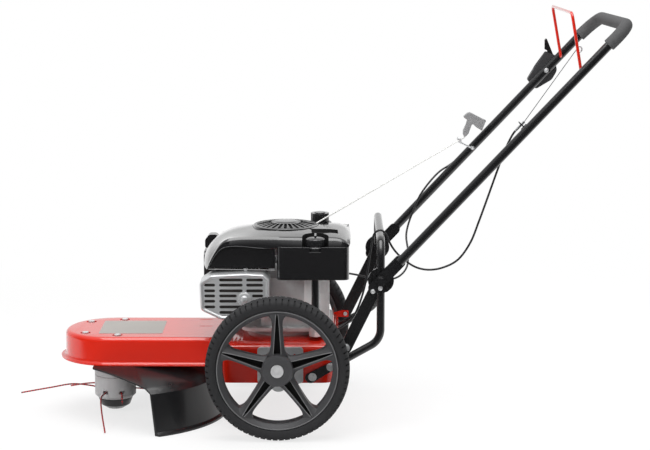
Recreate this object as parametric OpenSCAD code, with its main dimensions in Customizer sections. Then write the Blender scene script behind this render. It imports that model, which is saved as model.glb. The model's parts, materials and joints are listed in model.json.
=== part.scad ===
// Wheeled string trimmer, standing on its two wheels and on the lip of its debris shield.
// The origin is on the ground under the middle of the wheels; the trimmer head points to -X,
// the handlebar to +X, and the left side of the machine is -Y.

/* [Wheels] */
// Outer radius of a tyre
wheel_r = 178; // [165:1:185]
// Distance from the deck's side to the middle of a tyre
wheel_gap = 68.2; // [66:0.2:98]
// Width of a tyre
tyre_w = 70; // [56:1:72]
// Height of a tyre over its rim
tyre_h = 28; // [26:1:43]
// Radius of the wheel hub
hub_r = 39; // [32:1:46]
// Number of spokes
spoke_count = 5; // [4:1:7]
// Number of tread lugs on each shoulder
lug_count = 40; // [24:2:44]
// Radius of the stub axles
axle_r = 8; // [6:0.5:10]

/* [Deck] */
// Height of the top of the deck
deck_top = 220; // [215:1:226]
// Distance from the wheels forward to the axis of the trimmer head
head_reach = 430; // [415:1:460]
// Radius of the deck's nose, to the outside of its wall
nose_r = 125; // [118:1:132]
// Height of the front flange's underside
flange_z = 150; // [142:1:156]
// Width of the front flange
flange_w = 12; // [8:1:18]
// Half the width of the deck between the wheels
deck_half = 201.8; // [196:0.2:204]
// Distance from the wheels back to the rear wall
deck_rear = 150; // [144:1:160]
// Distance from the wheels forward to the step in the deck's width
deck_step = 165; // [155:1:175]
// Height of the lower edge of the wide rear walls
skirt_z = 124; // [122:1:134]
// Thickness of the deck's sheet
sheet = 3; // [2:0.5:4]

/* [Shield] */
// Inner radius of the debris shield's skirt about the head's axis, at the ground
shield_r = 281; // [276:1:288]
// Thickness of the shield
shield_t = 4; // [3:0.5:6]
// Half the angle that the skirt spans
shield_half = 61; // [50:1:66]

/* [Trimmer head] */
// Radius of the head's drum
drum_r = 53; // [46:1:60]
// Height of the drum's top
drum_top = 118; // [110:1:124]
// Height of the drum's lower edge
drum_low = 38; // [34:1:44]
// Height of the middle of the line ports
port_z = 58; // [54:1:64]
// Diameter of the trimmer line
line_d = 3.9; // [2.4:0.1:4.2]

/* [Drive] */
// Radius of the pulley on the crankshaft
drive_pulley_r = 45; // [38:1:50]
// Radius of the pulley on the spindle
spindle_pulley_r = 60; // [54:1:66]
// Height of the middle of the belt
belt_z = 168; // [166:1:172]
// Width of the belt's section
belt_w = 10; // [8:1:12]
// Radius of the spindle
spindle_r = 10; // [8:0.5:12]

/* [Engine] */
// Distance from the wheels back to the crankshaft
crank_x = 15; // [10:1:20]
// Radius of the crankshaft
crank_r = 12.5; // [11:0.5:14]
// Height of the top of the engine's cover
engine_top = 487; // [484:1:492]
// Half the width of the engine's cover
cover_half = 168; // [162:1:172]
// Radius of the recoil starter's grille
grille_r = 79; // [70:1:84]
// Number of slots in the grille
grille_slots = 24; // [16:2:28]
// Height of the fuel tank's underside
tank_low = 379; // [376:1:386]
// Rows of slots in the muffler guard
guard_rows = 7; // [5:1:8]
// Columns of slots in the muffler guard
guard_columns = 3; // [2:1:4]

/* [Lower frame] */
// Radius of the lower loop's tube
loop_r = 10; // [8:0.5:11]
// Distance from the deck's side to the middle of the lower loop's tube
loop_gap = 10.2; // [10.2:0.2:12]
// Height of the loop's crossbar
arch_z = 483; // [470:1:500]
// Distance from the wheels back to the handlebar's pivot
pivot_x = 254; // [246:1:262]
// Height of the handlebar's pivot
pivot_z = 390; // [384:1:396]
// Radius of the pivot discs
disc_r = 32; // [28:1:36]

/* [Handlebar] */
// Radius of the handlebar's tube
bar_r = 11; // [10:0.5:12]
// Distance from the middle of the lower loop's tube to the middle of the handlebar's tube
bar_gap = 28; // [27:0.5:34]
// Length of the handlebar from its pivot to the crossbar
bar_len = 853; // [820:1:880]
// Angle of the handlebar above the ground
bar_tilt = 46.8; // [44:0.2:50]
// Radius of the foam grip
grip_r = 15.5; // [14:0.5:18]
// Wall of the tubes
tube_wall = 2; // [1.5:0.25:3]

/* [Controls] */
// Distance up the handlebar to the bail's pivot
bail_at = 703; // [690:1:716]
// Length of the bail's legs
bail_len = 139; // [125:1:140]
// Angle of the bail's legs ahead of upright
bail_lean = 10.3; // [6:0.5:14]
// Radius of the bail's rod
bail_r = 4; // [3:0.5:5]
// Distance up the handlebar to the throttle control
control_at = 655; // [640:1:660]
// Length of the throttle lever
lever_len = 86; // [70:1:96]
// Distance up the handlebar to the bail cable's bracket
bracket_at = 513; // [495:1:530]

/* [Hidden] */

$fn = 48;

// Gap between pieces of one body that seat in each other
seat = 0.2;
// Radial clearance of a running fit
run_fit = 0.05;
// Gap between bodies that pass each other
pass = 0.4;
// Radius of the rim under the tyre
rim_r = wheel_r - tyre_h;
// Distance between the middles of the two tyres
track = 2 * (deck_half + wheel_gap);
// Half the distance between the lower loop's legs
loop_half = deck_half + loop_gap;
// Half the distance between the handlebar's legs
bar_half = loop_half + bar_gap;
// Angle of a full turn
full_turn = 360;
// Overrun of every cut
over = 1;
// Steps in a rounded corner of an outline
arc_steps = 6;
// Steps round each end of a strap or belt
strap_steps = 22;

red = [0.80, 0.10, 0.07];
black = [0.10, 0.10, 0.11];
dark = [0.20, 0.20, 0.21];
grey = [0.52, 0.53, 0.54];
silver = [0.78, 0.79, 0.80];

// Sides of the machine
LEFT = -1;
RIGHT = 1;
SIDES = [LEFT, RIGHT];

// Vectors, outlines and sweeps

function unit(v) = v / norm(v);

function corner_arc(a, b, c, r, n) =
    let (
        u = unit(a - b),
        v = unit(c - b),
        half = acos(max(-1, min(1, u * v))) / 2,
        centre = b + unit(u + v) * r / sin(half),
        s = b + u * r / tan(half) - centre,
        e = b + v * r / tan(half) - centre,
        first = atan2(s[1], s[0]),
        turn = ((atan2(e[1], e[0]) - first + full_turn * 3 / 2) % full_turn) - full_turn / 2
    )
    [for (i = [0:n]) centre + r * [cos(first + turn * i / n), sin(first + turn * i / n)]];

// An outline whose corners are rounded
function rounded(points, r, n = arc_steps) =
    let (k = len(points))
    [for (i = [0:k - 1])
        each corner_arc(points[(i + k - 1) % k], points[i], points[(i + 1) % k], r, n)];

// A convex outline moved inwards by t
function inset(points, t) =
    let (k = len(points))
    [for (i = [0:k - 1])
        let (
            u = unit(points[(i + k - 1) % k] - points[i]),
            v = unit(points[(i + 1) % k] - points[i]),
            bend = acos(u * v)
        )
        points[i] + (u + v) * t / sin(bend)];

function box_outline(x0, x1, y0, y1) = [[x0, y0], [x1, y0], [x1, y1], [x0, y1]];

function arc_points(c, r, a0, a1, n = arc_steps) =
    [for (i = [0:n]) c + r * [cos(a0 + (a1 - a0) * i / n), sin(a0 + (a1 - a0) * i / n)]];

function frame_of(x, y, z, o) = [
    [x[0], y[0], z[0], o[0]],
    [x[1], y[1], z[1], o[1]],
    [x[2], y[2], z[2], o[2]],
    [0, 0, 0, 1]
];

function side_of(z) = abs(z[1]) > 0.9 ? [1, 0, 0] : unit(cross([0, 1, 0], z));

// Puts the Z axis of its children on the line from a towards b
module along(a, b) {
    z = unit(b - a);
    x = side_of(z);
    multmatrix(frame_of(x, cross(z, x), z, a)) children();
}

module rod(a, b, r) {
    along(a, b) cylinder(r = r, h = norm(b - a));
}

module ring(r, wall) {
    difference() {
        circle(r);
        if (wall < r) circle(r - wall);
    }
}

function turn_at(p, i) = acos(min(1, unit(p[i] - p[i - 1]) * unit(p[i + 1] - p[i])));
function bend_at(bend_r, i) = is_list(bend_r) ? bend_r[i - 1] : bend_r;
function reach_at(p, i, bend_r) =
    i == 0 || i == len(p) - 1 ? 0 : bend_at(bend_r, i) * tan(turn_at(p, i) / 2);

// A round tube or rod bent at each inner point of a path, to one radius or a list of them
module bent_tube(p, bend_r, r, wall) {
    for (i = [0:len(p) - 2]) {
        u = unit(p[i + 1] - p[i]);
        a = p[i] + u * reach_at(p, i, bend_r);
        b = p[i + 1] - u * reach_at(p, i + 1, bend_r);
        along(a, b) linear_extrude(norm(b - a)) ring(r, wall);
    }
    for (i = [1:len(p) - 2]) {
        u = unit(p[i] - p[i - 1]);
        v = unit(p[i + 1] - p[i]);
        inward = unit(v - u * (u * v));
        start = p[i] - u * reach_at(p, i, bend_r);
        bend = bend_at(bend_r, i);
        multmatrix(frame_of(-inward, u, cross(-inward, u), start + inward * bend))
            rotate_extrude(angle = turn_at(p, i)) translate([bend, 0]) ring(r, wall);
    }
}

// Two circles joined by their outer tangents: ra at the origin, rb at distance d on X
function strap_points(ra, rb, d) =
    let (lean = acos((ra - rb) / d))
    concat(arc_points([0, 0], ra, lean, full_turn - lean, strap_steps),
        arc_points([d, 0], rb, -lean, lean, strap_steps));

module strap_outline(ra, rb, d) {
    polygon(strap_points(ra, rb, d));
}

// A slab of an outline drawn in X and Z, between two values of Y
module slab_y(y0, y1) {
    translate([0, max(y0, y1), 0]) rotate([90, 0, 0]) linear_extrude(abs(y1 - y0)) children();
}

// A slab of an outline drawn in Y and Z, between two values of X
module slab_x(x0, x1) {
    translate([x0, 0, 0]) rotate([90, 0, 90]) linear_extrude(x1 - x0) children();
}

module slab_z(z0, z1) {
    translate([0, 0, z0]) linear_extrude(z1 - z0) children();
}

// A cylinder along Y between two values of Y
module pin_y(x, z, y0, y1, r) {
    translate([x, min(y0, y1), z]) rotate([-90, 0, 0]) cylinder(r = r, h = abs(y1 - y0));
}

module slot_outline(length, width) {
    square([length - width, width], center = true);
    for (end = SIDES) translate([end * (length - width) / 2, 0]) circle(width / 2);
}

// A hexagon head along Z
module hex_head(r, h) {
    cylinder(r = r, h = h, $fn = 6);
}

// A bolt along Y whose head lies outside y0 and whose shank reaches in to y1
module bolt_y(x, z, y0, y1, r) {
    out = sign(y0 - y1);
    pin_y(x, z, y0, y1, r);
    translate([x, y0, z]) rotate([-90 * out, 0, 0]) {
        cylinder(r = r * washer_share, h = bolt_washer);
        translate([0, 0, bolt_washer]) hex_head(r * head_share, r * head_height_share);
    }
}

bolt_washer = 1.6;
washer_share = 2.1;
head_share = 1.75;
head_height_share = 1.0;

// A free tube swept along a route: one ring at each point, closed by a fan at each end
function mid_dir(p, i) =
    unit(unit(p[min(i + 1, len(p) - 1)] - p[min(i, len(p) - 2)])
        + unit(p[max(i, 1)] - p[max(i - 1, 0)]));
function spline(a, b, c, d, t) =
    0.5 * ((2 * b) + (c - a) * t + (2 * a - 5 * b + 4 * c - d) * t * t
        + (3 * b - a - 3 * c + d) * t * t * t);
function route_curve(p, n) =
    let (k = len(p) - 1)
    concat([for (i = [0:k - 1], j = [0:n - 1])
        spline(p[max(i - 1, 0)], p[i], p[i + 1], p[min(i + 2, k)], j / n)], [p[k]]);
function carry(side, z) = unit(side - z * (side * z));
function sides_along(p, i = 0, side = [0.31, 0.87, 0.38]) =
    i == len(p) ? [] :
    let (s = carry(side, mid_dir(p, i))) concat([s], sides_along(p, i + 1, s));

module swept_cord(route, r, sides, between) {
    p = route_curve(route, between);
    frames = sides_along(p);
    rings = len(p);
    points = [for (i = [0:rings - 1])
        let (x = frames[i], y = cross(mid_dir(p, i), x))
        for (j = [0:sides - 1])
            p[i] + r * (x * cos(full_turn * j / sides) + y * sin(full_turn * j / sides))];
    walls = [for (i = [0:rings - 2], j = [0:sides - 1])
        let (a = i * sides + j, b = i * sides + (j + 1) % sides)
        each [[a, a + sides, b + sides], [a, b + sides, b]]];
    first = [for (j = [0:sides - 1]) j];
    last = [for (j = [sides - 1:-1:0]) (rings - 1) * sides + j];
    polyhedron(points, concat([first], walls, [last]));
}

// Wheels

rim_wall = 10;
rim_lip = 5;
rim_inset = 7;
hub_over = 3;
hub_cap_r = 16;
hub_cap_t = 5;
hub_recess = 3;
spoke_root_w = 34;
spoke_tip_w = 19;
spoke_t = 30;
spoke_edge = 4;
pocket_depth = 12;
tread_round = 11;
lug_gap = 6;
lug_deep = 6;
lug_reach = 15;
axle_head_r = 15;
axle_head_t = 8;
plate_t = 4;
rim_w = tyre_w - 2 * rim_inset;
hub_w = tyre_w - 2 * hub_over;

module wheel_place(side) {
    translate([0, side * track / 2, wheel_r]) rotate([-90 * side, 0, 0]) children();
}

module rim_section() {
    translate([rim_r - rim_wall, -rim_w / 2]) square([rim_wall, rim_w]);
    for (end = SIDES)
        translate([rim_r - rim_wall - rim_lip, end * (rim_w - rim_lip) / 2 - rim_lip / 2])
            square([rim_lip + over, rim_lip]);
}

module spoke_outline(margin) {
    root = hub_r - over * 3;
    tip = rim_r - rim_wall / 2;
    foot = margin > 0 ? hub_r + margin : root;
    end = margin > 0 ? rim_r - rim_wall - rim_lip - margin : tip;
    polygon([
        [-spoke_root_w / 2 + margin, foot],
        [spoke_root_w / 2 - margin, foot],
        [spoke_tip_w / 2 - margin, end],
        [-spoke_tip_w / 2 + margin, end]
    ]);
}

module rim() {
    difference() {
        union() {
            rotate_extrude() rim_section();
            cylinder(r = hub_r, h = hub_w, center = true);
            for (i = [0:spoke_count - 1])
                rotate([0, 0, full_turn * i / spoke_count])
                    translate([0, 0, -spoke_t / 2]) linear_extrude(spoke_t) spoke_outline(0);
        }
        for (i = [0:spoke_count - 1], face = SIDES)
            rotate([0, 0, full_turn * i / spoke_count])
                translate([0, 0, face > 0 ? spoke_t / 2 - pocket_depth : -spoke_t / 2 - over])
                    linear_extrude(pocket_depth + over) spoke_outline(spoke_edge);
        cylinder(r = axle_r + run_fit, h = tyre_w, center = true);
        translate([0, 0, hub_w / 2 - hub_recess]) cylinder(r = hub_cap_r + seat, h = tyre_w);
    }
}

module tyre_section() {
    inner = rim_r + seat;
    crown = wheel_r - tread_round;
    translate([inner, -tyre_w / 2]) square([crown - inner, tyre_w]);
    translate([inner, -tyre_w / 2 + tread_round])
        square([wheel_r - inner, tyre_w - 2 * tread_round]);
    for (end = SIDES) translate([crown, end * (tyre_w / 2 - tread_round)]) circle(tread_round);
}

module tyre() {
    difference() {
        rotate_extrude() tyre_section();
        for (i = [0:lug_count - 1], end = SIDES)
            rotate([0, 0, full_turn * (i + (1 + end) / 4) / lug_count])
                translate([wheel_r - lug_deep, -lug_gap / 2, end > 0 ? tyre_w / 2 - lug_reach
                    : -tyre_w / 2 - over])
                    cube([lug_deep + over, lug_gap, lug_reach + over]);
    }
}

module hub_cap() {
    z = hub_w / 2 - hub_recess;
    difference() {
        translate([0, 0, z]) cylinder(r = hub_cap_r, h = hub_cap_t);
        translate([0, 0, z + hub_cap_t - bolt_washer])
            cylinder(r = hub_cap_r - bolt_washer, h = hub_cap_t);
    }
    translate([0, 0, z + hub_cap_t - bolt_washer * 2])
        cylinder(r = hub_cap_r / 2, h = bolt_washer * 2);
}

module left_rim() { color(dark) wheel_place(LEFT) rim(); }
module right_rim() { color(dark) wheel_place(RIGHT) rim(); }
module left_tyre() { color(black) wheel_place(LEFT) tyre(); }
module right_tyre() { color(black) wheel_place(RIGHT) tyre(); }
module left_hub_cap() { color(grey) wheel_place(LEFT) hub_cap(); }
module right_hub_cap() { color(grey) wheel_place(RIGHT) hub_cap(); }

plate_y = deck_half + seat;
plate_x0 = -52;
plate_x1 = 62;
plate_round = 8;
plate_top_gap = 4;
plate_hole_x = 41;
plate_hole_z = 195;
plate_hole_r = 4;
plate_tab_r = 22;

module axle_plates() {
    top = deck_top - plate_top_gap;
    color(silver) for (side = SIDES) difference() {
        slab_y(side * plate_y, side * (plate_y + plate_t)) {
            polygon(rounded(box_outline(plate_x0, plate_x1, skirt_z, top), plate_round));
            translate([0, skirt_z]) circle(plate_tab_r);
        }
        pin_y(0, wheel_r, 0, side * track, axle_r + seat);
        pin_y(plate_hole_x, plate_hole_z, 0, side * track, plate_hole_r);
    }
}

// Shoulder bolts that carry the wheels, held by a nut inside the deck wall
module stub_axles() {
    inner = deck_half - sheet - seat;
    outer = track / 2 + hub_w / 2 - hub_recess - seat;
    shoulder = track / 2 - hub_w / 2 - pass;
    color(silver) for (side = SIDES) {
        pin_y(0, wheel_r, side * (inner - axle_head_t), side * outer, axle_r);
        pin_y(0, wheel_r, side * (inner - axle_head_t), side * inner, axle_head_r);
        pin_y(0, wheel_r, side * (plate_y + plate_t + seat), side * shoulder, axle_head_r);
    }
}

// Deck

shoulder_r = 12;
flange_fillet = 8;
lap = 10;
rear_corner = 45;
bolt_circle = 93;
front_bolt_angle = 136;
back_bolt_angle = 79;
dimple_r = 13;
dimple_deep = 4;
crank_hole_r = 62;
slit_len = 34;
slit_w = 4;
slit_place_shares = [[0.46, 0.45], [0.45, 0.07]];
upstand_half = 110;
upstand_top = 248;
ear_len = 62;
ear_in = 6.2;
ear_y = deck_half - ear_in;
ear_r = 9;

function shoulder_out() = arc_points([-shoulder_r, deck_top - shoulder_r], shoulder_r, 90, 0);
function shoulder_in() =
    arc_points([-shoulder_r, deck_top - shoulder_r], shoulder_r - sheet, 0, 90);

// Section of the front wall: outward offset and height
function front_section() = concat(
    [[-shoulder_r - lap, deck_top]],
    shoulder_out(),
    arc_points([flange_fillet, flange_z + sheet + flange_fillet], flange_fillet, 180, 270),
    [[flange_w, flange_z + sheet], [flange_w, flange_z], [-sheet, flange_z]],
    shoulder_in(),
    [[-shoulder_r - lap, deck_top - sheet]]
);

function rear_section() = concat(
    [[-shoulder_r - lap, deck_top]],
    shoulder_out(),
    [[0, skirt_z], [-sheet, skirt_z]],
    shoulder_in(),
    [[-shoulder_r - lap, deck_top - sheet]]
);

// A straight wall from a to b, with its outside on the left of the way
module wall_run(a, b, section) {
    u = unit(b - a);
    multmatrix(frame_of([-u[1], u[0], 0], [0, 0, 1], [u[0], u[1], 0], [a[0], a[1], 0]))
        linear_extrude(norm(b - a)) polygon(section);
}

module wall_corner(c, r, first, turn, section) {
    translate([c[0], c[1], 0]) rotate(first)
        rotate_extrude(angle = turn) translate([r, 0]) polygon(section);
}

module deck_top_outline() {
    in = shoulder_r;
    back = deck_rear - in;
    translate([-head_reach, 0]) circle(nose_r - in);
    polygon(box_outline(-head_reach, -deck_step + in + lap, -nose_r + in, nose_r - in));
    polygon(rounded(box_outline(-deck_step + in, back, -deck_half + in, deck_half - in),
        rear_corner - in));
}

module deck_walls() {
    x0 = -deck_step;
    for (side = SIDES) mirror([0, side > 0 ? 1 : 0, 0]) {
        wall_run([x0 + sheet, -nose_r], [-head_reach, -nose_r], front_section());
        wall_run([x0, -deck_half + rear_corner], [x0, -nose_r + shoulder_r], rear_section());
        wall_corner([x0 + rear_corner, -deck_half + rear_corner], rear_corner, 180, 90,
            rear_section());
        wall_run([deck_rear - rear_corner, -deck_half], [x0 + rear_corner, -deck_half],
            rear_section());
        wall_corner([deck_rear - rear_corner, -deck_half + rear_corner], rear_corner, 270, 90,
            rear_section());
    }
    wall_corner([-head_reach, 0], nose_r, 90, 180, front_section());
    wall_run([deck_rear, deck_half - rear_corner], [deck_rear, -deck_half + rear_corner],
        rear_section());
}

function deck_bolt_places() = [
    for (side = SIDES, angle = [front_bolt_angle, back_bolt_angle])
        [-head_reach + bolt_circle * cos(angle), side * bolt_circle * sin(angle)]
];

// Rear lip between the braces, with an ear at each end for a brace's foot
module rear_upstand() {
    x = deck_rear - shoulder_r - sheet;
    slab_x(x, x + sheet)
        polygon(rounded(box_outline(-upstand_half, upstand_half, deck_top - sheet, upstand_top),
            sheet));
    for (side = SIDES)
        slab_y(side * (ear_y - sheet), side * ear_y)
            polygon(rounded([
                [deck_rear - ear_len, brace_z - ear_r],
                [brace_x + ear_r, brace_z - ear_r],
                [brace_x + ear_r, brace_z + ear_r],
                [brace_x - ear_r, brace_z + ear_r]
            ], sheet));
}

module deck() {
    color(red) difference() {
        union() {
            slab_z(deck_top - sheet, deck_top) deck_top_outline();
            deck_walls();
            rear_upstand();
            for (p = deck_bolt_places())
                translate([p[0], p[1], deck_top - sheet - dimple_deep])
                    cylinder(r = dimple_r + sheet, h = sheet + dimple_deep);
        }
        for (p = deck_bolt_places()) translate([p[0], p[1], deck_top - dimple_deep]) {
            cylinder(r = dimple_r, h = dimple_deep + over);
            translate([0, 0, -sheet - over * 2]) cylinder(r = deck_bolt_r + seat, h = deck_top);
        }
        translate([crank_x, 0, deck_top - sheet * 2]) cylinder(r = crank_hole_r, h = sheet * 4);
        for (p = slit_place_shares)
            translate([-p[0] * head_reach, p[1] * deck_half, deck_top - sheet * 2])
                linear_extrude(sheet * 4) slot_outline(slit_len, slit_w);
        for (side = SIDES) {
            pin_y(0, wheel_r, side * deck_half / 2, side * track / 2, axle_r + seat);
            for (p = loop_bolt_places())
                pin_y(p[0], p[1], side * deck_half / 2, side * track / 2, loop_bolt_r + seat);
            pin_y(brace_x, brace_z, side * upstand_half, side * track / 2, loop_bolt_r + seat);
        }
        // The way through for the belt, under the step in the deck's width
        translate([-deck_step - over, -nose_r + sheet * 2, 0])
            cube([sheet + shoulder_r + over * 2, 2 * nose_r - sheet * 4, deck_top - sheet]);
    }
}

deck_bolt_r = 5;

module deck_bolts() {
    color(silver) for (p = deck_bolt_places())
        translate([p[0], p[1], deck_top - dimple_deep]) {
            cylinder(r = deck_bolt_r * washer_share, h = bolt_washer);
            translate([0, 0, bolt_washer])
                hex_head(deck_bolt_r * head_share, deck_bolt_r * head_height_share);
            translate([0, 0, -sheet - housing_flange_t])
                cylinder(r = deck_bolt_r, h = sheet + housing_flange_t);
        }
}

// Debris shield

apron_inner = 108;
apron_flat = 150;
apron_edge = 258;
apron_fall = 30;
skirt_round = 15;
shield_lip = 12;
shield_lip_t = 6;
apron_ahead = 40;
apron_half = 150;
skirt_lean = 8;

function shield_section() =
    let (
        top = flange_z - seat,
        edge = top - apron_fall,
        t = shield_t
    )
    [
        [apron_inner, top],
        [apron_flat, top],
        [apron_edge, edge],
        [shield_r - skirt_lean, edge - skirt_round],
        [shield_r + t, shield_lip_t + t],
        [shield_r + shield_lip, shield_lip_t],
        [shield_r + shield_lip, 0],
        [shield_r, 0],
        [shield_r - skirt_lean - t, edge - skirt_round],
        [apron_edge - t / 2, edge - t],
        [apron_flat, top - t],
        [apron_inner, top - t]
    ];

module debris_shield() {
    far = shield_r + shield_lip + over;
    edge = far * [cos(shield_half), sin(shield_half)] / cos(shield_half / 4);
    color(black) translate([-head_reach, 0, 0]) intersection() {
        rotate(-120) rotate_extrude(angle = 240) polygon(shield_section());
        linear_extrude(deck_top) polygon([
            [-apron_ahead, -apron_half],
            [edge[0], -edge[1]],
            [far, -edge[1]],
            [far, edge[1]],
            [edge[0], edge[1]],
            [-apron_ahead, apron_half]
        ]);
    }
}

// Spindle, head and lines

housing_flange_t = 8;
housing_flange_r = 106;
housing_tube_r = 32;
housing_gap = 6;
bearing_r = 22;
bearing_h = 12;
housing_low = belt_z + belt_w / 2 + housing_gap;

module head_axis() { translate([-head_reach, 0, 0]) children(); }

module spindle_housing() {
    top = deck_top - sheet - dimple_deep;
    color(grey) head_axis() difference() {
        union() {
            translate([0, 0, top - housing_flange_t])
                cylinder(r = housing_flange_r, h = housing_flange_t);
            translate([0, 0, housing_low]) cylinder(r = housing_tube_r, h = top - housing_low);
        }
        translate([0, 0, housing_low - over]) cylinder(r = bearing_r + seat, h = deck_top);
        for (p = deck_bolt_places())
            translate([p[0] + head_reach, p[1], 0]) cylinder(r = deck_bolt_r + seat, h = deck_top);
    }
}

module bearing(z) {
    translate([0, 0, z]) difference() {
        cylinder(r = bearing_r, h = bearing_h);
        translate([0, 0, -over]) cylinder(r = spindle_r + run_fit, h = bearing_h + over * 2);
    }
}

module spindle_bearings() {
    top = deck_top - sheet - dimple_deep;
    color(silver) head_axis() {
        bearing(housing_low);
        bearing(top - bearing_h);
    }
}

spindle_foot = 24;

module spindle() {
    color(silver) head_axis() translate([0, 0, spindle_foot])
        cylinder(r = spindle_r, h = deck_top - sheet - dimple_deep - spindle_foot);
}

groove_deep = 8;
groove_land = 3;

// A V pulley with its groove at the height of the belt
module pulley(r, bore) {
    half = belt_w / 2 + groove_land;
    rotate_extrude() polygon([
        [bore, -half],
        [r, -half],
        [r, -belt_w / 2],
        [r - groove_deep, -belt_w / 4],
        [r - groove_deep, belt_w / 4],
        [r, belt_w / 2],
        [r, half],
        [bore, half]
    ]);
}

module spindle_pulley() {
    color(grey) head_axis() translate([0, 0, belt_z])
        pulley(spindle_pulley_r, spindle_r + seat);
}

drum_chamfer = 7;
drum_neck_r = 24;
drum_groove = 2;
drum_groove_z_share = 0.72;
port_w = 15;
port_h = 8;
port_deep = 9;
// Bearings of the line ports around the drum, from the rear, towards the right
port_angles = [172, 128, 247, 294, 2];

module trimmer_head() {
    neck_top = belt_z - belt_w / 2 - groove_land - seat;
    groove_z = drum_low + (drum_top - drum_low) * drum_groove_z_share;
    color(grey) head_axis() difference() {
        rotate_extrude() polygon([
            [spindle_r + seat, drum_low],
            [drum_r - drum_chamfer, drum_low],
            [drum_r, drum_low + drum_chamfer],
            [drum_r, groove_z],
            [drum_r - drum_groove, groove_z + drum_groove],
            [drum_r, groove_z + drum_groove * 2],
            [drum_r, drum_top - drum_chamfer],
            [drum_r - drum_chamfer, drum_top],
            [drum_neck_r, drum_top],
            [drum_neck_r, neck_top],
            [spindle_r + seat, neck_top]
        ]);
        for (angle = port_angles)
            rotate(angle) translate([drum_r - port_deep, -port_w / 2, port_z - port_h / 2])
                cube([port_deep * 2, port_w, port_h]);
    }
}

cap_r = 44;
cap_low = 8;
cap_foot_share = 0.5;
cap_cheek_share = 0.86;

// Dark cap under the drum that turns freely on the spindle's foot
module glide_cap() {
    top = drum_low - pass;
    socket = spindle_foot - pass;
    color(black) head_axis() difference() {
        rotate_extrude() polygon([
            [0, cap_low],
            [cap_r * cap_foot_share, cap_low],
            [cap_r * cap_cheek_share, (cap_low * 2 + top) / 3],
            [cap_r, top - drum_chamfer / 2],
            [cap_r, top],
            [0, top]
        ]);
        translate([0, 0, socket]) cylinder(r = spindle_r + run_fit, h = top);
    }
}

line_r = line_d / 2;
line_sides = 8;
line_between = 4;

// Routes of the trimmer lines, from their ports outwards
front_route = [[-474, 7, 58], [-500, 12, 62], [-545, 14, 65], [-600, 8, 57], [-676, 0, 45]];
far_route = [[-458, 35, 58], [-475, 60, 56], [-515, 95, 46], [-566, 146, 26]];
near_route = [[-448, -41, 58], [-452, -62, 58], [-457, -95, 54], [-449, -150, 33],
    [-432, -230, 3]];
stub_route = [[-412, -41, 58], [-408, -54, 55], [-407, -60, 46], [-406, -61, 32]];
rear_route = [[-385, 2, 58], [-350, -2, 56], [-300, -14, 48], [-222, -30, 40]];

module trimmer_line(route, between = line_between) {
    color(red) swept_cord(route, line_r, line_sides, between);
}

module line_front() { trimmer_line(front_route); }
module line_far() { trimmer_line(far_route); }
module line_near() { trimmer_line(near_route); }
module line_stub() { trimmer_line(stub_route, 2); }
module line_rear() { trimmer_line(rear_route); }

// Drive

module crank_axis() { translate([crank_x, 0, 0]) children(); }

module drive_pulley() {
    color(grey) crank_axis() translate([0, 0, belt_z])
        pulley(drive_pulley_r, crank_r + seat);
}

belt_t = 6;
belt_slack = 0.4;

// The slack V belt round both pulleys
module drive_belt() {
    a = spindle_pulley_r - groove_deep + belt_slack;
    b = drive_pulley_r - groove_deep + belt_slack;
    d = head_reach + crank_x;
    color(black) head_axis() translate([0, 0, belt_z - belt_w / 4]) linear_extrude(belt_w / 2)
        difference() {
            strap_outline(a + belt_t, b + belt_t, d);
            strap_outline(a, b, d);
        }
}

idler_r = 24;
idler_share = 0.58;
idler_arm_len = 74;
idler_arm_w = 24;
idler_arm_t = 5;
idler_pin_r = 5;
idler_x = -head_reach + (head_reach + crank_x) * idler_share;
belt_half_there = (spindle_pulley_r * (1 - idler_share) + drive_pulley_r * idler_share)
    - groove_deep + belt_slack + belt_t;
idler_y = -(belt_half_there + idler_r + pass + belt_slack);
arm_z = belt_z + belt_w / 2 + groove_land + pass;
idler_pivot_x = idler_x + idler_arm_len;

module idler_arm() {
    top = deck_top - sheet - seat;
    color(silver) translate([idler_pivot_x, idler_y, 0]) {
        translate([0, 0, arm_z]) linear_extrude(idler_arm_t)
            rotate(180) strap_outline(idler_arm_w / 2, idler_arm_w / 2, idler_arm_len);
        translate([0, 0, arm_z]) cylinder(r = idler_pin_r * 2, h = top - arm_z);
        translate([-idler_arm_len, 0, belt_z - belt_w / 2 - groove_land])
            cylinder(r = idler_pin_r, h = arm_z - belt_z + belt_w / 2 + groove_land);
    }
}

module idler_pulley() {
    half = belt_w / 2 + groove_land;
    color(grey) translate([idler_x, idler_y, belt_z - half]) difference() {
        cylinder(r = idler_r, h = 2 * half);
        translate([0, 0, -over]) cylinder(r = idler_pin_r + run_fit, h = 2 * half + over * 2);
    }
}

// Engine

base_r = 100;
base_t = 12;
case_back = 80;
case_front = 62;
case_half = 98;
case_mid = 302;
case_top = 370;
case_round = 18;
upper_back = 68;
upper_front = 46;
column_x0 = 84;
column_x1 = 112;
column_low = 262;
column_out = 10;
oil_dx = 77;
oil_y = -142;
oil_tube_r = 10;
oil_boss_r = 16;
oil_boss_h = 26;
oil_bore_r = 6;
oil_collar_share = 1.5;
shaft_low = belt_z - belt_w / 2 - groove_land;
flywheel_z = 424;
flywheel_h = 24;

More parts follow.
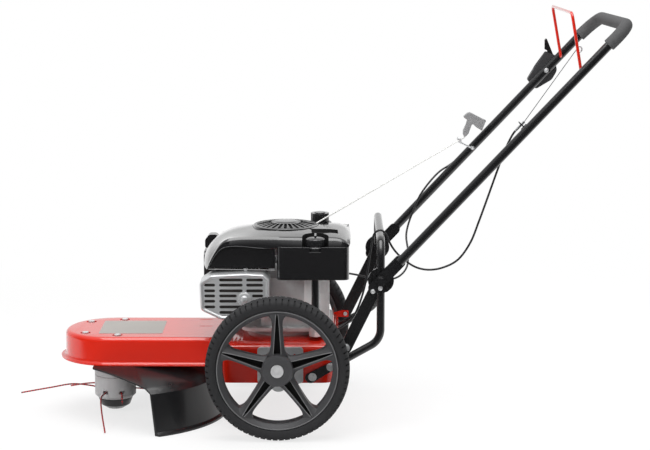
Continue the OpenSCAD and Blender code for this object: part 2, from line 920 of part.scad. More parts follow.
module crankcase() {
    low = deck_top + seat;
    oil_top = low + base_t + oil_boss_h;
    color(silver) crank_axis() difference() {
        union() {
            translate([0, 0, low]) cylinder(r = base_r, h = base_t);
            slab_z(low + base_t - over, case_mid)
                polygon(rounded(box_outline(-case_front, case_back, -case_half, case_half),
                    case_round));
            slab_z(case_mid - over, case_top)
                polygon(rounded(box_outline(-upper_front, upper_back, -case_half, case_half),
                    case_round / 2));
            translate([column_x0 - case_round * 2, -case_half - column_out, column_low])
                cube([column_x1 - column_x0 + case_round * 2, column_out * 4,
                    case_top - column_low]);
            slab_z(low + base_t - over, oil_top)
                polygon(box_outline(oil_dx - oil_boss_r, oil_dx + oil_boss_r, oil_y, 0));
            translate([oil_dx, oil_y, low + base_t - over]) cylinder(r = oil_boss_r,
                h = oil_boss_h + over);
        }
        cylinder(r = crank_r + run_fit, h = engine_top);
        translate([oil_dx, oil_y, oil_top - oil_boss_h / 2]) cylinder(r = oil_tube_r + seat,
            h = engine_top);
        translate([oil_dx - oil_tube_r * 2, oil_y - oil_tube_r * 2, oil_top])
            cube([oil_tube_r * 4, oil_tube_r * 3 + seat, engine_top]);
    }
}

module oil_fill_tube() {
    low = deck_top + seat + base_t + oil_boss_h / 2;
    color(black) crank_axis() translate([oil_dx, oil_y, low + seat]) difference() {
        union() {
            cylinder(r = oil_tube_r, h = oil_cap_z - low - seat * 2);
            translate([0, 0, oil_cap_z - low - oil_tube_r - seat * 2])
                cylinder(r = oil_tube_r * oil_collar_share, h = oil_tube_r);
        }
        translate([0, 0, oil_tube_r]) cylinder(r = oil_bore_r, h = engine_top);
    }
}

barrel_half = 40;
barrel_len = 96;
fin_t = 3.5;
fin_count = 9;
fin_out = 16;
// Gap from the engine's foot up to the lowest fins
barrel_gap = 27.8;
barrel_mid = deck_top + seat + base_t + barrel_gap + fin_out + barrel_half;

module engine_cylinder() {
    x0 = crank_x - upper_front - seat - (case_front - upper_front);
    pitch = barrel_len / fin_count;
    color(silver) {
        slab_x(x0 - barrel_len, x0) translate([0, barrel_mid]) circle(barrel_half);
        for (i = [1:fin_count])
            slab_x(x0 - i * pitch, x0 - i * pitch + fin_t) translate([0, barrel_mid])
                square(2 * (barrel_half + fin_out), center = true);
    }
}

head_t = 26;
head_fin_deep = 12;
head_fin_share = 0.6;
plug_r = 7;
plug_boot_share = 1.3;

module cylinder_head() {
    x1 = crank_x - case_front - seat * 2 - barrel_len;
    half = barrel_half + fin_out;
    color(grey) difference() {
        slab_x(x1 - head_t, x1)
            polygon([for (p = rounded(box_outline(-half, half, -half, half), case_round / 2))
                p + [0, barrel_mid]]);
        for (i = [0:fin_count - 2])
            translate([x1 - head_t - over, -half - over,
                barrel_mid - half + (i + head_fin_share) * 2 * half / fin_count])
                cube([head_fin_deep + over, 2 * half + over * 2, half / fin_count]);
        translate([x1 - head_t - over, 0, barrel_mid]) rotate([0, 90, 0])
            cylinder(r = plug_r * 2, h = head_fin_deep + over);
        translate([x1 - head_t - over, 0, barrel_mid]) rotate([0, 90, 0])
            cylinder(r = plug_r + seat, h = head_t);
    }
}

module spark_plug() {
    x1 = crank_x - case_front - seat * 2 - barrel_len - head_t;
    color(black) translate([x1, 0, barrel_mid]) rotate([0, -90, 0]) {
        translate([0, 0, -head_t + head_fin_deep]) cylinder(r = plug_r,
            h = head_t + head_fin_deep);
        translate([0, 0, -head_fin_deep + seat]) hex_head(plug_r * head_share, plug_r);
        translate([0, 0, head_fin_deep]) cylinder(r = plug_r * plug_boot_share, h = plug_r * 2);
    }
}

muffler_round = 14;
exhaust_r = 16;
port_x = crank_x - case_front - barrel_len / 2;
guard_t = 2.5;
guard_y = -178;
guard_deep = 66;
guard_gap = 9;
guard_round = 9;
guard_x0 = -200;
guard_x1 = -25;
guard_low = 282;
guard_top = 396;
guard_chamfer = 56;
guard_shoulder = 24;
guard_crown_share = 1.2;
guard_slot_h = 6;
guard_slot_share = 0.8;
guard_bolt_x = -85;
guard_bolt_z = 330;
guard_bolt_r = 17;
guard_bolt_shank = 6;
guard_tab_x = -82;
guard_tab_r = 9;

function guard_outline() = [
    [guard_x0 + guard_chamfer, guard_low],
    [guard_x1, guard_low],
    [guard_x1, guard_top - guard_round / 2],
    [guard_x0 + guard_chamfer * guard_crown_share, guard_top],
    [guard_x0, guard_top - guard_shoulder],
    [guard_x0, guard_low + guard_shoulder]
];

module muffler() {
    back = guard_y + guard_deep + guard_gap;
    color(grey) difference() {
        union() {
            slab_y(guard_y + guard_gap, back)
                polygon(rounded(inset(guard_outline(), guard_gap), muffler_round));
            pin_y(port_x, barrel_mid, back - over, -barrel_half - fin_out - seat, exhaust_r);
        }
        pin_y(guard_bolt_x, guard_bolt_z, guard_y, guard_y + guard_deep / 2,
            guard_bolt_shank + seat);
    }
}

module guard_slots() {
    pitch_z = (guard_top - guard_low - guard_shoulder) / guard_rows;
    pitch_x = (guard_x1 - guard_x0 - guard_round * 2) / guard_columns;
    for (i = [0:guard_rows - 1], j = [0:guard_columns - 1]) {
        x = guard_x0 + guard_round + (j + 0.5) * pitch_x;
        z = guard_low + guard_shoulder / 2 + (i + 0.5) * pitch_z;
        clear = norm([x - guard_bolt_x, z - guard_bolt_z]) > guard_bolt_r + pitch_x / 2;
        low_left = x - guard_x0 < guard_chamfer && z < guard_low + guard_shoulder + pitch_z / 3;
        if (clear && !low_left)
            slab_y(guard_y - over, guard_y + guard_t + over) translate([x, z])
                slot_outline(pitch_x * guard_slot_share, guard_slot_h);
    }
}

module muffler_guard() {
    color(silver) difference() {
        union() {
            slab_y(guard_y, guard_y + guard_deep) polygon(rounded(guard_outline(), guard_round));
            slab_y(guard_y, guard_y + guard_t) translate([guard_tab_x, guard_top])
                circle(guard_tab_r);
        }
        slab_y(guard_y + guard_t, guard_y + guard_deep + over)
            polygon(rounded(inset(guard_outline(), guard_t), guard_round - guard_t));
        guard_slots();
        pin_y(guard_bolt_x, guard_bolt_z, guard_y - over, guard_y + guard_t + over,
            guard_bolt_shank + seat);
    }
}

module guard_bolts() {
    color(silver) {
        pin_y(guard_bolt_x, guard_bolt_z, guard_y, guard_y + guard_gap + guard_t,
            guard_bolt_shank);
        difference() {
            pin_y(guard_bolt_x, guard_bolt_z, guard_y - guard_bolt_shank, guard_y,
                guard_bolt_r);
            pin_y(guard_bolt_x, guard_bolt_z, guard_y - guard_bolt_shank * 2,
                guard_y - guard_bolt_shank / 2, guard_bolt_r - guard_t);
        }
        translate([guard_tab_x, guard_y, guard_top]) rotate([90, 0, 0])
            hex_head(guard_bolt_shank, guard_bolt_shank / 2);
    }
}

cover_low = 402;
cover_t = 3;
cover_front = -193;
cover_back = 183;
cover_round = 22;
cover_shoulder_drop = 9;
cover_shoulder_z = engine_top - cover_shoulder_drop;
cover_shoulder_y = 146;
cover_flat_y = 70;
nose_mid_drop = 47;
nose_mid_z = engine_top - nose_mid_drop;
nose_mid_in = 7;
nose_high_drop = 20;
nose_high_z = engine_top - nose_high_drop;
nose_high_in = 44;
nose_flat_in = 110;
tail_flat_in = 60;
tail_high_in = 16;
tail_high_drop = 9;
tail_high_z = engine_top - tail_high_drop;
tail_mid_drop = 29;
tail_mid_z = engine_top - tail_mid_drop;
cover_plan_front_r = 64;
tank_x0 = -4;
tank_x1 = 176;
tank_half = 172;
tank_high = 462;
cover_side_z = tank_high;
tank_round = 16;
tank_well = 100;
panel_recess = 13;
panel_shares = [[0.05, 0], [0.97, 0], [0.97, 0.93], [0.56, 1], [0.32, 0.9], [0.16, 0.56]];
panel_high = 461;
panel_round = 10;
knob_r = 28;
knob_well = 33;
oil_cap_z = 450;

function cover_side() = [
    [cover_front, cover_low],
    [cover_back, cover_low],
    [cover_back, tail_mid_z],
    [cover_back - tail_high_in, tail_high_z],
    [cover_back - tail_flat_in, engine_top],
    [cover_front + nose_flat_in, engine_top],
    [cover_front + nose_high_in, nose_high_z],
    [cover_front + nose_mid_in, nose_mid_z]
];

function cover_end() = [
    [-cover_half, cover_low],
    [cover_half, cover_low],
    [cover_half, cover_side_z],
    [cover_shoulder_y, cover_shoulder_z],
    [cover_flat_y, engine_top],
    [-cover_flat_y, engine_top],
    [-cover_shoulder_y, cover_shoulder_z],
    [-cover_half, cover_side_z]
];

// Plan of the cover: wide at the tank, drawn in round at the front
function cover_plan() = [
    [cover_front, -cover_half],
    [cover_back, -cover_half],
    [cover_back, cover_half],
    [cover_front, cover_half]
];

module cover_form(t) {
    intersection() {
        slab_y(-track, track) polygon(rounded(inset(cover_side(), t), cover_round - t));
        slab_x(-track, track) polygon(rounded(inset(cover_end(), t), cover_round - t));
        slab_z(cover_low, engine_top + over)
            polygon(rounded(inset(cover_plan(), t), cover_plan_front_r - t));
    }
}

function panel_outline() = [for (s = panel_shares)
    [cover_front + s[0] * (tank_x0 - cover_front),
        cover_low + s[1] * (panel_high - cover_low)]];

// The left side of the cover is drawn in round a panel beside the cylinder
module side_panel() {
    intersection() {
        cover_form(0);
        difference() {
            slab_y(-cover_half, -cover_half + panel_recess + cover_t)
                polygon(rounded(inset(panel_outline(), -cover_t), panel_round));
            slab_y(-cover_half - over, -cover_half + panel_recess)
                polygon(rounded(panel_outline(), panel_round));
        }
    }
}

module blower_housing() {
    color(black) difference() {
        union() {
            difference() {
                cover_form(0);
                cover_form(cover_t);
                slab_y(-cover_half - over, -cover_half + panel_recess)
                    polygon(rounded(panel_outline(), panel_round));
            }
            side_panel();
        }
        // Open underside
        translate([cover_front - over, -cover_half - over, cover_low - over])
            cube([cover_back - cover_front + over * 2, 2 * cover_half + over * 2,
                cover_t + over * 2]);
        // Room for the tank
        translate([tank_x0 - seat, -track / 2, cover_low - over])
            cube([track, track, tank_high + seat - cover_low + over]);
        // Seat of the recoil cover
        crank_axis() translate([0, 0, engine_top - grille_r]) cylinder(r = grille_r + seat,
            h = grille_r * 2);
        // Wells of the two caps
        crank_axis() translate([oil_dx, oil_y, oil_cap_z]) cylinder(r = knob_well, h = engine_top);
        translate([fuel_cap_x, fuel_cap_y, tank_high]) cylinder(r = fuel_cap_r + pass * 4,
            h = engine_top);
    }
}

grille_low = 12;
grille_dome = 6;
grille_t = 4;
grille_slot_in_share = 0.5;
grille_slot_out_share = 0.9;
grille_slot_w_share = 0.085;
boss_share = 0.3;

module recoil_cover() {
    top = engine_top + grille_dome;
    color(dark) crank_axis() difference() {
        rotate_extrude() polygon([
            [0, top - grille_t],
            [grille_r * boss_share, top - grille_t],
            [grille_r - grille_t, engine_top - grille_t],
            [grille_r - grille_t, engine_top - grille_low],
            [grille_r, engine_top - grille_low],
            [grille_r, engine_top],
            [grille_r * boss_share, top],
            [0, top]
        ]);
        for (i = [0:grille_slots - 1]) rotate(full_turn * i / grille_slots)
            translate([grille_r * (grille_slot_in_share + grille_slot_out_share) / 2, 0,
                engine_top - grille_low * 2])
                linear_extrude(grille_low * 4)
                    slot_outline(grille_r * (grille_slot_out_share - grille_slot_in_share),
                        grille_r * grille_slot_w_share);
    }
}

fan_blades = 16;
fan_blade_h = 16;
fan_blade_t = 4;
flywheel_r = 82;

module flywheel() {
    color(grey) crank_axis() translate([0, 0, flywheel_z]) difference() {
        union() {
            cylinder(r = flywheel_r, h = flywheel_h);
            for (i = [0:fan_blades - 1]) rotate(full_turn * i / fan_blades)
                translate([flywheel_r / 2, -fan_blade_t / 2, flywheel_h - over])
                    cube([flywheel_r / 2 - fan_blade_t, fan_blade_t, fan_blade_h + over]);
        }
        translate([0, 0, -over]) cylinder(r = crank_r + seat, h = flywheel_h + over * 2);
    }
}

module crankshaft() {
    color(silver) crank_axis() translate([0, 0, shaft_low])
        cylinder(r = crank_r, h = flywheel_z + flywheel_h - shaft_low);
}

fuel_cap_x = 101;
fuel_cap_y = 100;
fuel_cap_r = 24;
fuel_neck_r = 15;
fuel_neck_top = 482;
fuel_cap_top = 504;

module fuel_tank() {
    color(black) difference() {
        union() {
            slab_z(tank_low, tank_high)
                polygon(rounded(box_outline(tank_x0, tank_x1, -tank_half, tank_half),
                    tank_round));
            translate([fuel_cap_x, fuel_cap_y, tank_high - over])
                cylinder(r = fuel_neck_r, h = fuel_neck_top - tank_high + over);
        }
        crank_axis() translate([0, 0, tank_low - over]) cylinder(r = tank_well,
            h = tank_high - tank_low + over * 2);
        translate([tank_x0 - over, -tank_well + tank_round, tank_low - over])
            cube([tank_well, 2 * (tank_well - tank_round), tank_high - tank_low + over * 2]);
        crank_axis() translate([oil_dx, oil_y, oil_cap_z]) cylinder(r = knob_well, h = engine_top);
        crank_axis() translate([oil_dx, oil_y, 0]) cylinder(r = oil_tube_r * oil_collar_share + seat,
            h = engine_top);
        translate([fuel_cap_x, fuel_cap_y, tank_high - tank_round])
            cylinder(r = fuel_neck_r - cover_t, h = engine_top);
    }
}

cap_ribs = 14;
cap_top_share = 0.72;
cap_crown_share = 0.6;
rib_out_share = 1.06;
rib_share = 0.12;

// A turned cap with grip ribs round its edge
module ribbed_cap(r, h, ribs) {
    difference() {
        union() {
            cylinder(r = r, h = h);
            translate([0, 0, h - over]) cylinder(r = r * cap_crown_share, h = over * 3);
        }
        for (i = [0:ribs - 1]) rotate(full_turn * i / ribs)
            translate([r * rib_out_share, 0, -over]) cylinder(r = r * rib_share, h = h + over * 2);
    }
}

cleaner_x0 = -204;
cleaner_x1 = -84;
cleaner_y0 = 104;
cleaner_y1 = 186;
cleaner_low = 318;
cleaner_top = 398;
cleaner_round = 16;

module air_cleaner() {
    color(black) {
        slab_x(cleaner_x0, cleaner_x1)
            polygon(rounded(box_outline(cleaner_y0, cleaner_y1, cleaner_low, cleaner_top),
                cleaner_round));
        slab_x(cleaner_x0 + cleaner_round, cleaner_x1 - cleaner_round)
            polygon(rounded(box_outline(cleaner_y0 + cleaner_round, cleaner_y1 + sheet,
                cleaner_low + cleaner_round, cleaner_top - cleaner_round), cleaner_round / 2));
    }
}

carb_half = 20;
carb_bore_r = 14;

module carburettor() {
    x = (cleaner_x0 + cleaner_x1) / 2;
    y0 = barrel_half + fin_out + seat;
    y1 = cleaner_y0 - seat;
    z = (cleaner_low + cleaner_top) / 2 - carb_half;
    color(silver) {
        slab_y(y0, y1) translate([x, z]) circle(carb_bore_r);
        slab_y((y0 * 2 + y1) / 3, y1) translate([x, z]) square(2 * carb_half, center = true);
        translate([x, (y0 + y1 * 2) / 3, z - carb_half * 2]) cylinder(r = carb_bore_r,
            h = carb_half * 2);
    }
}

// Lower frame

loop_bolt_r = 5;
loop_bend = 46;
flat_t = 6;
flat_in = 0.5;
flat_half = 13;
foot_x = 80;
foot_z = 138.2;
foot_slope = 29.5;
foot_len = 72;
loop_bolt_shares = [0.08, 0.8];
foot_dir = [cos(foot_slope), sin(foot_slope)];
knee_turn = 90 - foot_slope;
knee_z = foot_z + (pivot_x - foot_x) * tan(foot_slope) + loop_bend * tan(knee_turn / 2);
brace_x = 168;
brace_z = 214;
brace_half = 15;
brace_t = 6;
brace_y = loop_half - loop_r - seat;

function loop_bolt_places() = [for (share = loop_bolt_shares)
    [foot_x, foot_z] + foot_len * share * foot_dir];

// An arch of tube whose two knees lead down to slim straight runs with flat feet
module lower_loop() {
    in = loop_half - loop_r + flat_in;
    knee = [pivot_x - loop_bend, knee_z];
    start = [foot_x, foot_z] + foot_len * foot_dir;
    end = knee + loop_bend * [sin(foot_slope), -cos(foot_slope)] + tube_wall * foot_dir;
    color(black) difference() {
        union() {
            bent_tube([
                [pivot_x, -loop_half, knee_z], [pivot_x, -loop_half, arch_z],
                [pivot_x, loop_half, arch_z], [pivot_x, loop_half, knee_z]
            ], loop_bend, loop_r, tube_wall);
            for (side = SIDES) {
                y = side * loop_half;
                translate([knee[0], y, knee[1]]) rotate([-90, 0, 0])
                    rotate_extrude(angle = knee_turn) translate([loop_bend, 0])
                        ring(loop_r, tube_wall);
                rod([start[0], y, start[1]], [end[0], y, end[1]], loop_r - seat);
                slab_y(side * in, side * (in + flat_t)) translate([foot_x, foot_z])
                    rotate(foot_slope) strap_outline(flat_half, loop_r, foot_len);
            }
        }
        for (side = SIDES) {
            for (p = loop_bolt_places())
                pin_y(p[0], p[1], side * deck_half / 2, side * track / 2, loop_bolt_r + seat);
            pin_y(pivot_x, pivot_z, side * deck_half / 2, side * track / 2,
                pivot_bolt_r + seat);
        }
    }
}

module brace_bars() {
    rise = [pivot_x - brace_x, pivot_z - brace_z];
    color(black) for (side = SIDES) difference() {
        slab_y(side * (brace_y - brace_t), side * brace_y) translate([brace_x, brace_z])
            rotate(atan2(rise[1], rise[0])) strap_outline(brace_half, brace_half, norm(rise));
        pin_y(brace_x, brace_z, side * upstand_half, side * track / 2, loop_bolt_r + seat);
        pin_y(pivot_x, pivot_z, side * upstand_half, side * track / 2, pivot_bolt_r + seat);
    }
}

module loop_bolts() {
    out = loop_half - loop_r + flat_in + flat_t;
    color(silver) for (side = SIDES) {
        for (p = loop_bolt_places())
            bolt_y(p[0], p[1], side * out, side * (deck_half - sheet * 2), loop_bolt_r);
        bolt_y(brace_x, brace_z, side * brace_y, side * (ear_y - sheet * 2), loop_bolt_r);
    }
}

pivot_bolt_r = 6;
disc_rib = 3;
disc_ribs = 5;
disc_groove_share = 1.4;
disc_in = loop_half + loop_r + seat;
disc_out = bar_half - bar_r - pass;
nut_t = 8;

module pivot_discs() {
    color(black) for (side = SIDES) difference() {
        slab_y(side * disc_in, side * disc_out) translate([pivot_x, pivot_z]) circle(disc_r);
        pin_y(pivot_x, pivot_z, 0, side * track, pivot_bolt_r + seat);
        for (i = [0:disc_ribs - 1])
            slab_y(side * (disc_out - disc_rib), side * track)
                translate([pivot_x + (i - (disc_ribs - 1) / 2) * disc_r * 2 / (disc_ribs + 1),
                    pivot_z])
                    square([disc_rib * disc_groove_share, disc_r * 2], center = true);
    }
}

module pivot_bolts() {
    out = bar_half - bar_r + end_t + pass;
    in = brace_y - brace_t;
    color(silver) for (side = SIDES) {
        bolt_y(pivot_x, pivot_z, side * out, side * (in - nut_t), pivot_bolt_r);
        translate([pivot_x, side * in, pivot_z]) rotate([90 * side, 0, 0])
            hex_head(pivot_bolt_r * head_share, nut_t);
    }
}

// Handlebar

bar_dir = [cos(bar_tilt), 0, sin(bar_tilt)];
bar_up = [-sin(bar_tilt), 0, cos(bar_tilt)];
bar_bend = 52;
end_t = 7;
end_half = 15;
end_ahead = 24;
end_len = 66;
grip_leg = 62;

// A point on the handlebar: distance from the pivot, place across, and lift off its plane
function on_bar(d, y, lift = 0) =
    [pivot_x, y, pivot_z] + bar_dir * d + bar_up * lift;

// The handlebar's own plane: X up the legs, Y across, Z off the plane
module bar_plane() {
    translate([pivot_x, 0, pivot_z]) rotate([0, -bar_tilt, 0]) children();
}

function bar_path(from) = [
    [from, -bar_half, 0], [bar_len, -bar_half, 0], [bar_len, bar_half, 0], [from, bar_half, 0]
];

module on_bar_plane(side, y0, y1) {
    slab_y(side * y0, side * y1) translate([pivot_x, pivot_z]) rotate(bar_tilt) children();
}

module upper_handlebar() {
    in = bar_half - bar_r;
    color(black) difference() {
        union() {
            bar_plane() bent_tube(bar_path(end_len), bar_bend, bar_r, tube_wall);
            for (side = SIDES)
                on_bar_plane(side, in, in + end_t) translate([-end_ahead, 0])
                    strap_outline(end_half, end_half, end_ahead + end_len);
        }
        for (side = SIDES) {
            pin_y(pivot_x, pivot_z, 0, side * track, pivot_bolt_r + run_fit);
            p = on_bar(bail_at, 0);
            pin_y(p[0], p[2], 0, side * bar_half, bail_r + run_fit);
        }
        c = on_bar(control_at, 0, -control_drop);
        pin_y(c[0], c[2], 0, control_y, control_bolt_r / 2 + seat);
    }
}

module handle_grip() {
    color(dark) bar_plane()
        bent_tube(bar_path(bar_len - grip_leg), bar_bend, grip_r, grip_r - bar_r - seat);
}

// Controls on the handlebar

bail_half = bar_half - bar_r - bail_r - pass * 3;
bail_bend = 14;
bail_foot_share = 1.2;
bail_foot_bend = bail_r * bail_foot_share;

// A U of round rod whose feet turn out into the handlebar's legs
module bail() {
    p = on_bar(bail_at, 0);
    foot = bar_half - bar_r + tube_wall * 2;
    color(red) translate(p) rotate([0, -90 - bail_lean, 0]) bent_tube([
        [0, -foot, 0], [0, -bail_half, 0], [bail_len, -bail_half, 0],
        [bail_len, bail_half, 0], [0, bail_half, 0], [0, foot, 0]
    ], [bail_foot_bend, bail_bend, bail_bend, bail_foot_bend], bail_r, bail_r);
}

control_hub_r = 35;
control_tail_r = 15;
control_tail = 66;
control_w = 24;
control_drop = 6;
control_bolt_r = 6;
control_in = bar_half + bar_r + seat;
control_y = control_in + control_w;
control_head_y = bar_half - bar_r - seat;

module control_box() {
    p = on_bar(control_at, 0, -control_drop);
    color(dark) difference() {
        slab_y(control_in, control_y) translate([p[0], p[2]]) rotate(bar_tilt)
            rotate(180) strap_outline(control_hub_r, control_tail_r, control_tail);
        // Slot for the lever
        slab_y(control_y - control_w * slot_shares[0], control_y - control_w * slot_shares[1])
            translate([p[0], p[2]]) {
                polygon(concat([[0, 0]], arc_points([0, 0], control_hub_r * 2,
                    lever_rest - lever_sweep - lever_spare,
                    lever_rest + lever_sweep + lever_spare)));
                circle(lever_hub_r + pass);
            }
    }
    color(silver) pin_y(p[0], p[2], control_head_y, control_y, control_bolt_r / 2);
    color(silver) translate([p[0], control_head_y, p[2]]) rotate([90, 0, 0])
        hex_head(control_bolt_r, control_bolt_r / 2);
}

lever_sweep = 20;
lever_rest = 92;
slot_shares = [0.64, 0.28];
lever_shares = [0.60, 0.32];
pad_half = 7;
pad_len = 22;
lever_spare = 80;
lever_hub_r = 18;
lever_tip_half = 9;

module throttle_lever() {
    p = on_bar(control_at, 0, -control_drop);
    y0 = control_y - control_w * lever_shares[0];
    y1 = control_y - control_w * lever_shares[1];
    color(black) difference() {
        union() {
            slab_y(y0, y1) translate([p[0], p[2]]) rotate(lever_rest)
                strap_outline(lever_hub_r, lever_tip_half, lever_len);
            slab_y(y0 - pad_half, y1 + pad_half) translate([p[0], p[2]]) rotate(lever_rest)
                translate([lever_len - pad_len, -lever_tip_half / 2])
                    polygon(rounded(box_outline(0, pad_len, 0, lever_tip_half), bolt_washer));
        }
        pin_y(p[0], p[2], bar_half, control_y, run_fit + control_bolt_r / 2);
    }
}

bracket_t = 3;
bracket_half = 9;
bracket_reach = 20;
bracket_hole = 3.4;
bracket_lift = 16;

module cable_bracket() {
    y = bar_half - bar_r - seat;
    color(black) difference() {
        union() {
            on_bar_plane(LEFT, y - bracket_t, y) translate([bracket_at, 0])
                square([bracket_half * 2, bar_r * 2], center = true);
            on_bar_plane(LEFT, y - bracket_reach, y) translate([bracket_at, bracket_lift / 2])
                square([bracket_t, bracket_lift + bracket_half * 2], center = true);
        }
        rod(on_bar(bracket_at - bracket_reach, -y + bracket_reach / 2, bracket_lift),
            on_bar(bracket_at + bracket_reach, -y + bracket_reach / 2, bracket_lift),
            bracket_hole);
    }
}

wire_r = 1;
wire_hook_share = 0.42;

function hook_point() = [
    on_bar(bail_at, 0)[0] - bail_len * wire_hook_share * sin(bail_lean),
    -bail_half + bail_r + wire_r + pass,
    on_bar(bail_at, 0)[2] + bail_len * wire_hook_share * cos(bail_lean)
];

// Bare wire from the bracket to its hook on the bail
module bail_wire() {
    y = bar_half - bar_r - seat - bracket_reach / 2;
    a = on_bar(bracket_at - bracket_reach, -y, bracket_lift);
    b = hook_point();
    end = on_bar(bracket_at + bracket_reach / 2, -y, bracket_lift);
    color(silver) {
        rod(a, end, bracket_hole - seat);
        rod(end - unit(b - end), b, wire_r);
    }
}

cable_r = 2.6;
cable_sides = 8;

// Route of the bail's cable: bracket, free hang, lower loop, deck
bail_route = [[579, -219, 760], [570, -218, 746], [556, -215, 715], [538, -212, 664],
    [513, -211, 590], [494, -210, 535], [474, -208, 482], [445, -204, 439], [409, -200, 418],
    [372, -196, 411], [338, -192, 418], [306, -190, 440], [287, -189, 460], [275, -188, 480],
    [266, -186, 500], [252, -184, 508], [236, -181, 494], [227, -177, 440], [214, -174, 360],
    [190, -171, 292], [158, -162, 258], [130, -152, 244], [126, -150, 233],
    [126, -150, 220.4]];
// Route of the throttle's cable: control, right leg, free hang, engine
throttle_route = [[650, 263, 803], [630, 258, 784], [575, 256, 730], [521, 256, 672],
    [480, 255, 636], [450, 252, 611], [420, 240, 593], [393, 226, 567], [367, 220, 531],
    [350, 216, 492], [336, 208, 455], [330, 190, 425], [334, 160, 390], [330, 130, 354],
    [306, 106, 332], [270, 92, 328], [226, 84, 336], [180, 80, 346], [130, 80, 351],
    [83.5, 80, 350]];
cable_between = 2;

module bail_cable() { color(black) swept_cord(bail_route, cable_r, cable_sides, cable_between); }
module throttle_cable() {
    color(black) swept_cord(throttle_route, cable_r, cable_sides, cable_between);
}

// Starter

handle_in = 26;
handle_y = bar_half - handle_in;
handle_w = 24;
handle_shares = [[0, 0], [0.17, -0.06], [0.22, 0.3], [0.32, 0.56], [0.86, 0.3], [1.02, 0.56],
    [0.36, 0.96], [0.12, 1], [-0.06, 0.86], [0.1, 0.7], [0.06, 0.3]];
handle_span = [58, 76];
handle_foot = [481, 679];
rope_r = 2;
rope_exit = [92, 24];

function handle_outline() = [for (s = handle_shares)
    [handle_foot[0] + s[0] * handle_span[0], handle_foot[1] + s[1] * handle_span[1]]];

module starter_handle() {
    color(grey) slab_y(handle_y - handle_w / 2, handle_y + handle_w / 2)
        polygon(handle_outline());
}

function rope_start() = [rope_exit[0], rope_exit[1], engine_top + rope_r];
function rope_end() = [handle_foot[0] - seat, handle_y, handle_foot[1] + handle_w / 3];

module starter_rope() { color(silver) rod(rope_start(), rope_end(), rope_r); }

guide_r = 2.5;
guide_at = 368;
guide_elbow_share = 1.15;
guide_rod_share = 0.9;
eye_r = 7;
eye_back = 14;

// Rod on the right leg that ends in an eye round the rope
module rope_guide() {
    y = bar_half - bar_r - seat;
    way = unit(rope_end() - rope_start());
    eye = rope_end() - way * eye_back;
    bolt = on_bar(guide_at, y);
    turn = [bolt[0], handle_y, bolt[2]];
    gap = turn - eye;
    edge = eye + unit(gap - way * (gap * way)) * eye_r;
    color(silver) {
        pin_y(bolt[0], bolt[2], handle_y, bolt[1], guide_r);
        translate(turn) sphere(guide_r * guide_elbow_share);
        rod(turn, edge, guide_r * guide_rod_share);
        along(eye, eye + way) rotate_extrude() translate([eye_r, 0]) circle(guide_r);
        pin_y(bolt[0], bolt[2], bolt[1] - guide_r * 2, bolt[1], guide_r * washer_share);
    }
}

module fuel_cap() {
    color(black) translate([fuel_cap_x, fuel_cap_y, fuel_neck_top + pass])
        ribbed_cap(fuel_cap_r, fuel_cap_top - fuel_neck_top, cap_ribs);
}

knob_h = 20;
knob_skirt_h = 8;
wing_t = 9;
wing_h = 10;
stick_r = 3.5;
stick_len = 150;

// Oil cap with a wing to turn it and the dipstick under it
module dipstick() {
    color(black) crank_axis() translate([oil_dx, oil_y, oil_cap_z + seat]) {
        rotate_extrude() polygon(concat(
            [[0, 0], [knob_r, 0], [knob_r, knob_skirt_h]],
            [[knob_r * cap_top_share, knob_h], [0, knob_h]]
        ));
        translate([-knob_r * cap_top_share, -wing_t / 2, knob_h - over])
            cube([2 * knob_r * cap_top_share, wing_t, wing_h + over]);
    }
    color(silver) crank_axis() translate([oil_dx, oil_y, oil_cap_z - stick_len])
        cylinder(r = stick_r, h = stick_len + over);
}

deck();
deck_bolts();
debris_shield();
axle_plates();
stub_axles();
lower_loop();
brace_bars();
loop_bolts();
pivot_discs();
pivot_bolts();
spindle_housing();
spindle_bearings();
crankcase();
engine_cylinder();
cylinder_head();
spark_plug();
muffler();
muffler_guard();
guard_bolts();
blower_housing();
recoil_cover();
fuel_tank();
oil_fill_tube();
air_cleaner();
carburettor();
drive_belt();
left_rim();
left_tyre();
left_hub_cap();
right_rim();
right_tyre();
right_hub_cap();
crankshaft();
flywheel();
drive_pulley();
spindle();
spindle_pulley();
trimmer_head();
line_front();
line_far();
line_near();
line_stub();
line_rear();
glide_cap();
idler_arm();
idler_pulley();
upper_handlebar();
handle_grip();
control_box();
throttle_lever();
cable_bracket();
rope_guide();
bail();
bail_wire();
bail_cable();
throttle_cable();
starter_handle();
starter_rope();
fuel_cap();
dipstick();
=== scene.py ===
"""Wheeled string trimmer: the looks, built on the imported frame."""

import json
import math

import bmesh
import bpy
from mathutils import Matrix, Vector


